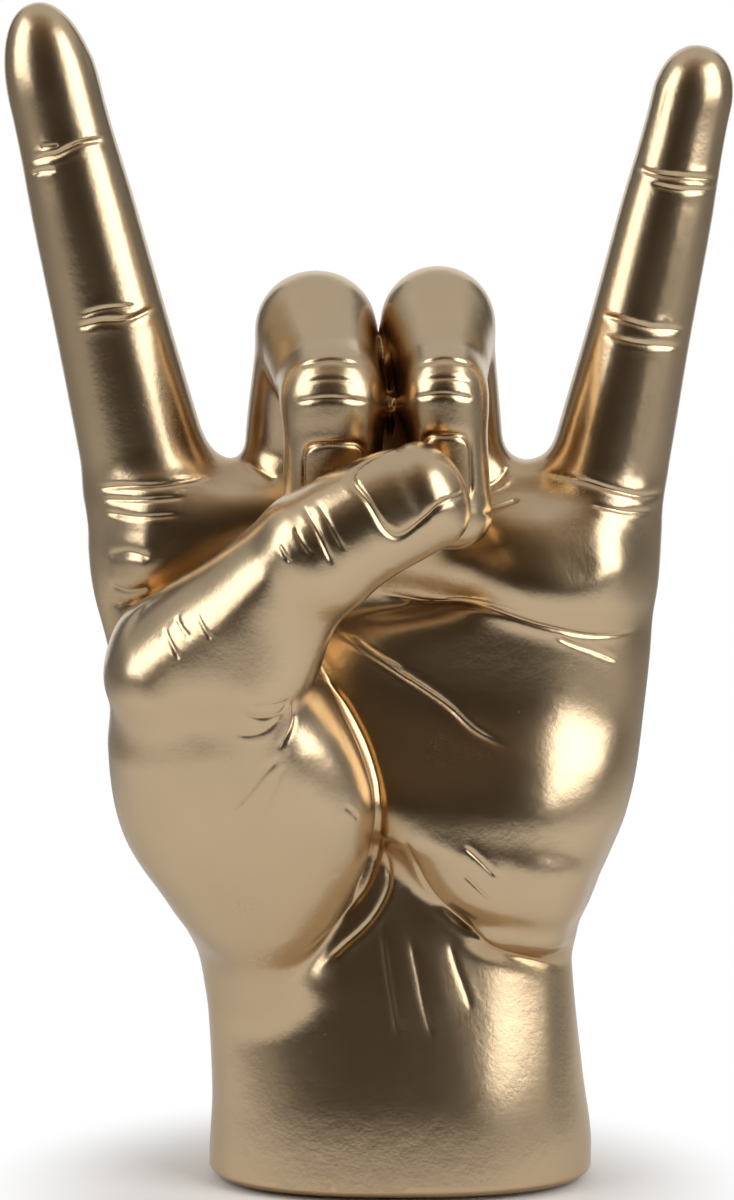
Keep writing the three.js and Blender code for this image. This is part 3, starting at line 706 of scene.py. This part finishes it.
class Nail(Mark):
    """A nail plate that stands a little proud of a groove round its root and sides."""

    def __init__(self, corners, finger):
        far_root, near_root, near_tip, far_tip = corners
        root, tip = (far_root + near_root) / 2, (near_tip + far_tip) / 2
        self.middle = (root + tip) / 2
        self.along = unit(tip - root)
        side = (far_root + far_tip - near_root - near_tip) / 4
        side = side - self.along * (side @ self.along)
        self.across = unit(side)
        self.half_width = np.linalg.norm(side)
        self.half_length = np.linalg.norm(tip - root) / 2
        self.finger = finger
        self.outward = unit(slope_of(finger.distance, self.middle[None])[1][0])
        reach = max(self.half_width, self.half_length) * NAIL_REACH
        super().__init__(self.middle - reach, self.middle + reach)

    def place(self, points):
        """Distance outside the nail's outline in millimetres, and how far along the nail."""
        offset = points - self.middle
        along = offset @ self.along / self.half_length
        across = offset @ self.across / self.half_width
        reach = (np.abs(along) ** NAIL_POWER + np.abs(across) ** NAIL_POWER) ** (1 / NAIL_POWER)
        return (reach - 1) * min(self.half_width, self.half_length), along

    def away(self, points):
        """The distance to the edge of the nail."""
        return np.abs(self.place(points)[0] - NAIL_EDGE_MIDDLE)

    def relief(self, points):
        """How far the skin is raised at each point, negative in the groove."""
        outside, along = self.place(points)
        plate = NAIL_HEIGHT * (1 - ease(*NAIL_EDGE, outside))
        beside = 1 - ease(*NAIL_SKIN_ENDS, along)
        depth, place, width = NAIL_GROOVE
        groove = depth * bell(outside - place, width) * between(NAIL_TIP_GROOVE, 1, beside)
        height, place, width = NAIL_BANK
        bank = height * bell(outside - place, width) * beside
        own_side = ease(*NAIL_WRAP, (points - self.middle) @ self.outward)
        own_side *= 1 - ease(*NAIL_OWN_FINGER, self.finger.distance(points))
        return (plate - groove + bank) * own_side


def skin_marks(depth):
    """Everything that is pressed into the skin or stands on it."""
    marks = []
    for table, finder in ((CREASES, from_front), (BACK_CREASES, from_back)):
        for name, (width, deep, swell, points) in table.items():
            marks.append(Crease(finder(smooth_line(points), name), CREASE_WIDTH * width,
                                CREASE_DEPTH * deep * depth, CREASE_SWELL * swell * depth))
    for table, finder in ((FRONT_SWELLS, from_front), (BACK_SWELLS, from_back)):
        for name, (width, height, points) in table.items():
            marks.append(Swell(finder(smooth_line(points), name), width, height))
    fingers = {
        "thumb nail": thumb_upper, "middle nail": middle_finger[2], "ring nail": ring_finger[2],
        "index nail": index_finger, "little nail": little_finger,
    }
    for name, corners in FRONT_NAILS.items():
        # The thumb hides corners of the two nails behind it, so these are found on their own fingers.
        form = hand_distance if name == "thumb nail" else fingers[name].distance
        marks.append(Nail(from_front(corners, name, form), fingers[name]))
    for name, corners in BACK_NAILS.items():
        marks.append(Nail(from_back(corners, name), fingers[name]))
    return marks


def refine(work, marks, reach):
    """Halves the faces of a body that lie within reach of the marks, and settles the new points."""
    points = np.array([vertex.co for vertex in work.verts])
    near = np.zeros(len(points), bool)
    for mark in marks:
        spots = mark.near(points)
        near[spots[mark.away(points[spots]) < reach]] = True
    edges = [edge for edge in work.edges if near[edge.verts[0].index] and near[edge.verts[1].index]]
    bmesh.ops.subdivide_edges(work, edges=edges, cuts=1, use_grid_fill=True)
    work.verts.ensure_lookup_table()
    work.verts.index_update()
    first = len(points)
    fresh = np.array([vertex.co for vertex in work.verts[first:]])
    settled = settle(hand_distance, fresh, rounds=1, longest=1.0)
    for vertex, point in zip(work.verts[first:], settled):
        vertex.co = point


def ring(half_wide, half_deep, level, power=2.0, steps=160):
    """A round or superelliptic outline at one level."""
    turns = np.arange(steps) / steps * 2 * np.pi
    across, back = np.cos(turns), np.sin(turns)
    x = half_wide * np.sign(across) * np.abs(across) ** (2 / power)
    y = half_deep * np.sign(back) * np.abs(back) ** (2 / power)
    return np.column_stack([x, y, np.full(steps, level)])


def wrist_ring(inset, level):
    """The wrist's outline drawn in by a distance, at one level."""
    return ring(WRIST_WIDE - inset, WRIST_DEEP - inset, level, PALM_POWER)


def stacked(name, rings):
    """A closed body through rings of equal count, from the lowest up."""
    count = len(rings[0])
    here = np.arange(count)
    ahead = (here + 1) % count
    faces = [here[::-1].tolist(), ((len(rings) - 1) * count + here).tolist()]
    for level in range(len(rings) - 1):
        low, high = level * count, (level + 1) * count
        faces += np.column_stack([low + here, low + ahead, high + ahead, high + here]).tolist()
    mesh = bpy.data.meshes.new(name)
    mesh.from_pydata(np.concatenate(rings).tolist(), [], faces)
    return add_object(name, mesh)


def add_object(name, data):
    """A new object in the scene, of a mesh, a lamp or a camera."""
    made = bpy.data.objects.new(name, data)
    bpy.context.scene.collection.objects.link(made)
    return made


# The levels that round the rim, from the foot up.
RIM_STEPS = 9
# The seat and the well start in what is already open, so that each cut goes through.
SEAT_START, WELL_START = -1, 1


def underside_tools():
    """The bodies that shape the cut wrist: its rounded rim, the cap's seat and the well over the vent."""
    rim = []
    for turn in np.linspace(0, np.pi / 2, RIM_STEPS):
        inset = RIM_RADIUS - (RIM_RADIUS + CLEARANCE) * math.sin(turn)
        rim.append(wrist_ring(inset, RIM_RADIUS * (1 - math.cos(turn))))
    wide = 2 * GRID_HIGH[2]
    room = stacked("room", [*rim, *(ring(wide, wide, level) for level in (RIM_RADIUS, ROOF_LEVEL))])
    seat_depth = CAP_THICKNESS + CLEARANCE
    inset = CAP_WALL - CLEARANCE
    seat = stacked("seat", [wrist_ring(inset, level) for level in (SEAT_START, seat_depth)])
    well_levels = (WELL_START, seat_depth + WELL_DEPTH)
    well = stacked("well", [ring(WELL_RADIUS, WELL_RADIUS, level) for level in well_levels])
    return [("INTERSECT", room), ("DIFFERENCE", seat), ("DIFFERENCE", well)]


def cut_underside(hand):
    """Cuts the wrist flat and gives it its rim, seat and well."""
    tools = underside_tools()
    for operation, tool in tools:
        cut = hand.modifiers.new(tool.name, "BOOLEAN")
        cut.operation = operation
        cut.object = tool
        cut.solver = "MANIFOLD"
    shaped = bpy.data.meshes.new_from_object(hand.evaluated_get(bpy.context.evaluated_depsgraph_get()))
    hand.modifiers.clear()
    raw = hand.data
    hand.data = shaped
    bpy.data.meshes.remove(raw)
    for _, tool in tools:
        form = tool.data
        bpy.data.objects.remove(tool)
        bpy.data.meshes.remove(form)
    if not shaped.polygons:
        raise RuntimeError("the cut left nothing of the hand")


# How closed in a point is: by how deep a line presses it, in millimetres, and by the room at three
# heights over it, each with its weight. It goes from open to deep between two sums of these.
# The note is painted shade: the gold is coloured deeper where a point is closed in, in place of shade and
# light mirrored between the fingers.
PRESSED_DEPTH, PRESSED_WEIGHT = 0.6, 0.5
ROOM_HEIGHTS = ((4, 0.3), (10, 0.35), (22, 0.3))
OPEN_TO_DEEP = (0.08, 0.9)


def note_painted_shade(mesh, places):
    """Notes at each point how closed in it is, from 0 in the open to 1 deep between the fingers, as painted
    shade.
    """
    facing = np.array([normal.vector for normal in mesh.vertex_normals])
    here = hand_distance(places)
    closed = PRESSED_WEIGHT * np.clip(-here / PRESSED_DEPTH, 0, 1)
    for height, weight in ROOM_HEIGHTS:
        room = (hand_distance(places + facing * height) - here) / height
        closed += weight * np.clip(1 - room, 0, 1)
    note = mesh.attributes.new("painted_shade", "FLOAT", "POINT")
    note.data.foreach_set("value", ease(*OPEN_TO_DEEP, closed))


# How near its marks the skin is made finer, in millimetres, one round after the other.
FINER_REACHES = (2.2, 1.1)


def press_marks(mesh, marks):
    """Makes the skin finer along its lines and nails, then presses and raises all its marks."""
    work = bmesh.new()
    work.from_mesh(mesh)
    fine_marks = [mark for mark in marks if not isinstance(mark, Swell)]
    for reach in FINER_REACHES:
        refine(work, fine_marks, reach)
    points = np.array([vertex.co for vertex in work.verts])
    _, slope = slope_of(hand_distance, points)
    outward = slope / np.linalg.norm(slope, axis=1)[:, None]
    lift = np.zeros(len(points))
    for mark in marks:
        spots = mark.near(points)
        lift[spots] += mark.relief(points[spots])
    for vertex, place in zip(work.verts, points + outward * lift[:, None]):
        vertex.co = place
    work.to_mesh(mesh)
    work.free()


# How often the first skin is settled, and the share of a cell that a point may move at once.
SETTLE_ROUNDS, SETTLE_SHARE = 2, 0.35
# Edges that bend by more than this, at the cuts underneath, are shaded sharp.
SHARP_ANGLE = math.radians(62)


def sculpt_hand(cell, depth):
    """The cast hand as one object, with its lines, knuckles, tendons and nails."""
    points, faces = skin(hand_distance, cell)
    points = settle(hand_distance, points, SETTLE_ROUNDS, cell * SETTLE_SHARE)
    mesh = bpy.data.meshes.new("cast hand")
    mesh.from_pydata(points, [], faces)
    press_marks(mesh, skin_marks(depth))
    hand = add_object("cast_hand", mesh)
    cut_underside(hand)
    shaped = hand.data
    places = np.empty(3 * len(shaped.vertices))
    shaped.vertices.foreach_get("co", places)
    places = places.reshape(-1, 3)
    note_painted_shade(shaped, places)
    shaped.vertices.foreach_set("co", ((places + SHIFT) * MM).ravel())
    shaped.shade_smooth()
    shaped.set_sharp_from_angle(angle=SHARP_ANGLE)
    shaped.update()
    return hand


class Wire:
    """An output in a shader tree that takes part in sums written in Python."""

    def __init__(self, recipe, socket):
        self.recipe, self.socket = recipe, socket

    def __add__(self, other):
        return self.recipe.sum("ADD", self, other)

    __radd__ = __add__

    def __sub__(self, other):
        return self.recipe.sum("SUBTRACT", self, other)

    def __rsub__(self, other):
        return self.recipe.sum("SUBTRACT", other, self)

    def __mul__(self, other):
        return self.recipe.sum("MULTIPLY", self, other)

    __rmul__ = __mul__

    def __abs__(self):
        return self.recipe.sum("ABSOLUTE", self, 0.0)


WHITE = (1.0, 1.0, 1.0)
# How far back the edges of the wedge behind the hand run for each step to the side.
WEDGE_SLOPE = 1.5


class Recipe:
    """A shader tree that is written down node by node."""

    def __init__(self, owner):
        owner.use_nodes = True
        self.tree = owner.node_tree
        self.tree.nodes.clear()

    def node(self, kind, settings=None, values=None, output=0):
        """Adds a node: its settings first, then the values or wires of its sockets."""
        node = self.tree.nodes.new(kind)
        for key, value in (settings or {}).items():
            setattr(node, key, value)
        for key, value in (values or {}).items():
            if isinstance(value, Wire):
                self.tree.links.new(value.socket, node.inputs[key])
            else:
                node.inputs[key].default_value = value
        return Wire(self, node.outputs[output]) if len(node.outputs) else None

    def wires(self, kind, values=None):
        """Adds a node and gives each of its outputs by name."""
        outputs = self.node(kind, {}, values).socket.node.outputs
        return {output.name: Wire(self, output) for output in outputs}

    def sum(self, operation, first, second):
        """One step of shader arithmetic."""
        return self.node("ShaderNodeMath", {"operation": operation}, {0: first, 1: second})

    def place(self, kind="Object"):
        """The place on the object, or another coordinate."""
        return self.node("ShaderNodeTexCoord", output=kind)

    def noise(self, scale, detail=2.0, roughness=0.5):
        """Soft noise over the object, scale in waves a metre."""
        values = {"Vector": self.place(), "Scale": scale, "Detail": detail, "Roughness": roughness}
        return self.node("ShaderNodeTexNoise", {}, values)

    def blend(self, share, first, second):
        """Two colours, written or wired, mixed by a share."""
        first, second = (side if isinstance(side, Wire) else (*side, 1) for side in (first, second))
        # The colour sockets go by number, because a Mix node uses their names more than once.
        return self.node("ShaderNodeMix", {"data_type": "RGBA"}, {0: share, 6: first, 7: second}, output=2)

    def tones(self, share, colour, tone):
        """A colour that goes by a share to a darker or paler tone of itself."""
        return self.blend(share, colour, [tone * value for value in colour])

    def ramp(self, value, low, high, start=0.0, end=1.0):
        """A smooth rise from start to end while a value goes from low to high."""
        return self.node(
            "ShaderNodeMapRange", {"interpolation_type": "SMOOTHSTEP"},
            {"Value": value, "From Min": low, "From Max": high, "To Min": start, "To Max": end},
        )

    def light_paths(self):
        """The shares of rays from the camera, and of those that mirror or pass through a surface."""
        path = self.wires("ShaderNodeLightPath")
        mirrored = self.sum("MAXIMUM", path["Is Glossy Ray"], path["Is Transmission Ray"])
        return path["Is Camera Ray"], mirrored

    def parts(self, vector):
        """The x, y and z of a vector."""
        return self.wires("ShaderNodeSeparateXYZ", {0: vector}).values()

    def behind(self, across, back, low, high):
        """A share that rises with how far back a place lies, in a wedge that opens backwards."""
        return self.ramp(back - abs(across) * WEDGE_SLOPE, low, high)

    def turn_white(self, share, plain, white_kind, end_kind):
        """Ends the tree in a shader that turns plain white by a share."""
        white = self.node(white_kind, {}, {"Color": (*WHITE, 1), "Strength": 1.0})
        mixed = self.node("ShaderNodeMixShader", {}, {0: share, 1: plain, 2: white})
        self.node(end_kind, {}, {"Surface": mixed})

    def relief(self, height, strength, distance):
        """A fine relief for the Normal socket."""
        values = {"Height": height, "Strength": strength, "Distance": distance}
        return self.node("ShaderNodeBump", {}, values)

    def surface(self, values):
        """Ends the tree in a principled surface."""
        shader = self.node("ShaderNodeBsdfPrincipled", {}, values)
        self.node("ShaderNodeOutputMaterial", {}, {"Surface": shader})


def new_finish(name):
    """A new material and the recipe that fills it."""
    material = bpy.data.materials.new(name)
    return material, Recipe(material)


def gold_paint(look):
    """Satin metallic gold paint over the casting, coloured deeper in its recesses as painted shade."""
    material, recipe = new_finish("gold paint")
    cloud = recipe.noise(scale=70, detail=3.0)
    grain = recipe.noise(scale=1500)
    skin_grain = recipe.noise(scale=320, detail=3.0)
    painted_shade = recipe.node("ShaderNodeAttribute", {"attribute_name": "painted_shade"}, output="Fac")
    open_gold = recipe.tones(cloud, look.gold, tone=0.9)
    recipe.surface({
        # The base colour turns to the deeper gold by the note of how closed in each point is: painted shade
        # and painted light mirrored between the fingers, in the folds and in the lines.
        "Base Color": recipe.blend(painted_shade, open_gold, look.gold_painted_shade),
        "Metallic": 1.0,
        "Roughness": look.gold_roughness - 0.04 + cloud * 0.05 + grain * 0.03,
        "Normal": recipe.relief(grain * 0.35 + skin_grain, strength=0.4, distance=0.00012),
    })
    return material


def cast_resin(look):
    """The raw dark resin of the cap."""
    material, recipe = new_finish("raw resin")
    cloud = recipe.noise(scale=160, detail=3.0)
    grain = recipe.noise(scale=2200)
    recipe.surface({
        "Base Color": recipe.tones(cloud, look.resin, tone=0.6),
        "Roughness": 0.52 + cloud * 0.15,
        "Normal": recipe.relief(grain, strength=0.4, distance=0.0002),
    })
    return material


def soft_rubber(look):
    """The matt rubber of the stopper."""
    material, recipe = new_finish("soft rubber")
    cloud = recipe.noise(scale=400)
    grain = recipe.noise(scale=3000, detail=1.0)
    recipe.surface({
        "Base Color": recipe.tones(cloud, look.rubber, tone=1.5),
        "Roughness": 0.7 + cloud * 0.12,
        "Normal": recipe.relief(grain, strength=0.3, distance=0.0001),
    })
    return material


def wool_felt(look):
    """The felt of the pads."""
    material, recipe = new_finish("wool felt")
    tuft = recipe.noise(scale=1800, detail=4.0, roughness=0.7)
    recipe.surface({
        "Base Color": recipe.tones(tuft, look.felt, tone=0.45),
        "Roughness": 0.88 + tuft * 0.1,
        "Sheen Weight": 0.4,
        "Normal": recipe.relief(tuft, strength=0.8, distance=0.0004),
    })
    return material


def dress(node, material):
    """Gives a solid of the frame a finish."""
    solid = bpy.data.objects[node]
    for slot in solid.material_slots:
        slot.material = material
    if not solid.material_slots:
        raise RuntimeError(node + " has no material slot")


def length(name, description, default, low, high):
    """A length in the panel."""
    return FloatProperty(name=name, description=description, default=default, min=low, max=high,
                         unit="LENGTH", precision=5)


def tint(name, description, default):
    """A colour in the panel."""
    return FloatVectorProperty(name=name, description=description, default=default, min=0, max=1,
                               size=3, subtype="COLOR")


class HandForm(bpy.types.PropertyGroup):
    """How finely and how deeply the hand is sculpted."""

    fineness: length("Fineness", "Size of the facets of the hand's skin", 0.00095, 0.0006, 0.003)
    line_depth: FloatProperty(name="Line depth", description="How deep the lines in the skin are pressed",
                              default=1.0, min=0.0, max=2.0, subtype="FACTOR")


class HandLook(bpy.types.PropertyGroup):
    """Colours and gloss of the finishes."""

    gold: tint("Gold", "The gold paint in the open", (0.64, 0.495, 0.32))
    # The colour of the painted shade: the gold turns to it where the hand is closed in, in place of shade
    # and light mirrored between the fingers.
    gold_painted_shade: tint("Deep gold", "Deeper tone of the paint in the recesses", (0.43, 0.275, 0.13))
    gold_roughness: FloatProperty(name="Gold roughness", description="How matt the gold paint is",
                                  default=0.26, min=0.05, max=1.0, subtype="FACTOR")
    resin: tint("Resin", "Raw resin of the cap", (0.09, 0.08, 0.07))
    rubber: tint("Rubber", "Rubber of the stopper", (0.03, 0.03, 0.033))
    felt: tint("Felt", "Felt of the pads", (0.13, 0.1, 0.08))


class HandStudio(bpy.types.PropertyGroup):
    """The floor and the lamps."""

    floor: tint("Floor", "Colour of the floor and the backdrop", (0.9, 0.9, 0.9))
    left_power: FloatProperty(name="Left lamp", description="Power of the tall lamp on the left",
                              default=2.6, min=0.0, max=100.0, unit="POWER")
    right_power: FloatProperty(name="Right lamp", description="Power of the tall lamp on the right",
                               default=3.7, min=0.0, max=100.0, unit="POWER")
    floor_reach: length("Floor reach", "How far the floor runs out to each side", 2.6, 0.5, 10.0)


class ORNAMENT_OT_hand(bpy.types.Operator):
    """Sculpt the cast hand in place of its plain solid"""

    bl_idname = "ornament.hand"
    bl_label = "Cast hand"

    def execute(self, context):
        form = context.scene.hand_form
        coarse = 1.0
        hand = sculpt_hand(form.fineness / MM * coarse, form.line_depth)
        hand.data.materials.clear()
        hand.data.materials.append(gold_paint(context.scene.hand_look))
        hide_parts("hand_casting")
        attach(hand, "root")
        return {"FINISHED"}


class ORNAMENT_OT_base(bpy.types.Operator):
    """Finish the cap, the stopper and the felt pads under the wrist"""

    bl_idname = "ornament.base"
    bl_label = "Base fittings"

    def execute(self, context):
        look = context.scene.hand_look
        dress("hand_casting", gold_paint(look))
        dress("base_cap", cast_resin(look))
        dress("vent_stopper", soft_rubber(look))
        felt = wool_felt(look)
        for end in ("front", "back"):
            for side in ("left", "right"):
                dress(f"felt_pad_{end}_{side}", felt)
        return {"FINISHED"}


class ORNAMENT_OT_studio(bpy.types.Operator):
    """Set the floor, the backdrop, the lamps and the camera"""

    bl_idname = "ornament.studio"
    bl_label = "Studio"

    def execute(self, context):
        studio = context.scene.hand_studio
        lay_floor(studio)
        hang_lamps(studio)
        surround(context.scene)
        place_camera(context.scene)
        context.scene.view_settings.view_transform = "Standard"
        return {"FINISHED"}


# The floor in metres: where it starts in front, and the bend and top of the backdrop behind.
FLOOR_FRONT, BACKDROP_BEND, BACKDROP_TOP, BEND_STEPS = -0.45, 0.8, 2.4, 16
# From where to where, out from the hand, the shadow at its foot fades and painted shade darkens the floor's
# colour, and the tone it ends at.
SHADOW_FADE, FLOOR_PAINTED_SHADE, FLOOR_PAINTED_SHADE_TONE = (0.036, 0.075), (0.16, 0.45), 0.6
# Mirrored in the gold, the floor and the room turn white behind the hand between these depths, and the
# room only below a height of its directions.
FLOOR_WEDGE, ROOM_WEDGE, ROOM_WALL_TOP = (0.1, 0.4), (0.4, 0.85), (0.35, 0.6)
# The room's light by the height and the depth of a direction: where it rises, and from what to what.
ROOM_RISE, ROOM_RISE_LIGHT = (0.15, 0.8), (0.2, 0.65)
ROOM_DEPTH, ROOM_DEPTH_LIGHT, ROOM_WARM = (-0.85, 0.0), (0.15, 1.0), (1.0, 0.66, 0.34)
# How far out the lamps stand and how high, in metres.
LAMP_REACH, LAMP_LEVEL = 0.6, 0.5


def pale_floor(colour):
    """The matt floor, of which the camera sees no more than the shadow at the foot."""
    material, recipe = new_finish("pale floor")
    camera, mirrored = recipe.light_paths()
    place = recipe.place()
    away = recipe.node("ShaderNodeVectorMath", {"operation": "LENGTH"}, {0: place}, output="Value")
    across, back, _ = recipe.parts(place)
    behind = mirrored * recipe.behind(across, back, *FLOOR_WEDGE)
    seen = recipe.sum("MAXIMUM", camera * recipe.ramp(away, *SHADOW_FADE), behind)
    plain = recipe.node("ShaderNodeBsdfPrincipled", {}, {
        # The base colour darkens farther from the hand: painted shade on the floor.
        "Base Color": recipe.tones(recipe.ramp(away, *FLOOR_PAINTED_SHADE), colour, FLOOR_PAINTED_SHADE_TONE),
        "Roughness": 1.0,
        "Specular IOR Level": 0.0,
    })
    recipe.turn_white(seen, plain, "ShaderNodeEmission", "ShaderNodeOutputMaterial")
    return material


def lay_floor(studio):
    """A pale floor that sweeps up into a backdrop behind the hand."""
    reach, bend = studio.floor_reach, BACKDROP_BEND
    profile = [(FLOOR_FRONT, 0.0)]
    for turn in np.linspace(0, np.pi / 2, BEND_STEPS + 1):
        profile.append((reach - bend + bend * math.sin(turn), bend - bend * math.cos(turn)))
    profile.append((reach, BACKDROP_TOP))
    points = [(side * reach, back, up) for back, up in profile for side in (-1, 1)]
    faces = [(2 * i, 2 * i + 1, 2 * i + 3, 2 * i + 2) for i in range(len(profile) - 1)]
    mesh = bpy.data.meshes.new("floor")
    mesh.from_pydata(points, [], faces)
    mesh.shade_smooth()
    mesh.materials.append(pale_floor(studio.floor))
    floor = add_object("floor", mesh)


def lamp(name, place, width, height, power):
    """A rectangular soft lamp that points level at the middle of the studio."""
    light = bpy.data.lights.new(name, "AREA")
    light.shape = "RECTANGLE"
    light.size, light.size_y = width, height
    light.energy = power
    made = add_object(name, light)
    made.location = place
    made.rotation_euler = Vector((-place[0], -place[1], 0.0)).to_track_quat("-Z", "Y").to_euler()


def hang_lamps(studio):
    """A tall soft lamp at each side, in front of the hand: its turn from the front, and its size."""
    for name, turn, width, height, power in (
        ("left lamp", math.radians(-68), 0.45, 0.7, studio.left_power),
        ("right lamp", math.radians(54), 0.5, 0.75, studio.right_power),
    ):
        place = (LAMP_REACH * math.sin(turn), -LAMP_REACH * math.cos(turn), LAMP_LEVEL)
        lamp(name, place, width, height, power)


def surround(scene):
    """A white surround for the camera, and a soft room, darker and warmer in front, for the light."""
    world = bpy.data.worlds.new("studio")
    scene.world = world
    recipe = Recipe(world)
    camera, mirrored = recipe.light_paths()
    across, back, up = recipe.parts(recipe.place("Generated"))
    strength = recipe.ramp(up, *ROOM_RISE, *ROOM_RISE_LIGHT)
    strength = strength * recipe.ramp(back, *ROOM_DEPTH, *ROOM_DEPTH_LIGHT)
    colour = recipe.blend(recipe.ramp(back, *ROOM_DEPTH), ROOM_WARM, WHITE)
    light = recipe.node("ShaderNodeBackground", {}, {"Color": colour, "Strength": strength})
    low = recipe.ramp(up, *ROOM_WALL_TOP, start=1.0, end=0.0)
    behind = mirrored * (recipe.behind(across, back, *ROOM_WEDGE) * low)
    seen = recipe.sum("MAXIMUM", camera, behind)
    recipe.turn_white(seen, light, "ShaderNodeBackground", "ShaderNodeOutputWorld")


def place_camera(scene):
    """The camera where the photograph was taken from."""
    place, forward, _, _ = camera_place()
    view = bpy.data.cameras.new("camera")
    view.lens, view.sensor_width = LENS, SENSOR
    view.clip_start, view.clip_end = 0.05, 20.0
    camera = add_object("camera", view)
    camera.location = (place + SHIFT) * MM
    camera.rotation_euler = Vector(forward).to_track_quat("-Z", "Y").to_euler()
    scene.camera = camera


class ORNAMENT_PT_panel(bpy.types.Panel):
    """Lists what can be set and the steps that build the ornament"""

    bl_label = "Cast hand"
    bl_idname = "ORNAMENT_PT_panel"
    bl_space_type = "VIEW_3D"
    bl_region_type = "UI"
    bl_category = "Hand"

    def draw(self, context):
        for group in (context.scene.hand_form, context.scene.hand_look, context.scene.hand_studio):
            column = self.layout.box().column()
            for name in group.__annotations__:
                column.prop(group, name)
        for step in STEPS:
            self.layout.operator(step.bl_idname)


STEPS = (ORNAMENT_OT_hand, ORNAMENT_OT_base, ORNAMENT_OT_studio)
GROUPS = {"hand_form": HandForm, "hand_look": HandLook, "hand_studio": HandStudio}


def register():
    """Adds the settings, the steps and the panel."""
    for made in (*GROUPS.values(), *STEPS, ORNAMENT_PT_panel):
        bpy.utils.register_class(made)
    for name, group in GROUPS.items():
        setattr(bpy.types.Scene, name, PointerProperty(type=group))


def unregister():
    """Takes them away again."""
    for name in GROUPS:
        delattr(bpy.types.Scene, name)
    for made in (ORNAMENT_PT_panel, *reversed(STEPS), *reversed(GROUPS.values())):
        bpy.utils.unregister_class(made)


def main():
    """Builds everything in order."""
    register()
    bpy.ops.ornament.hand()
    bpy.ops.ornament.base()
    bpy.ops.ornament.studio()


if __name__ == "__main__":
    main()
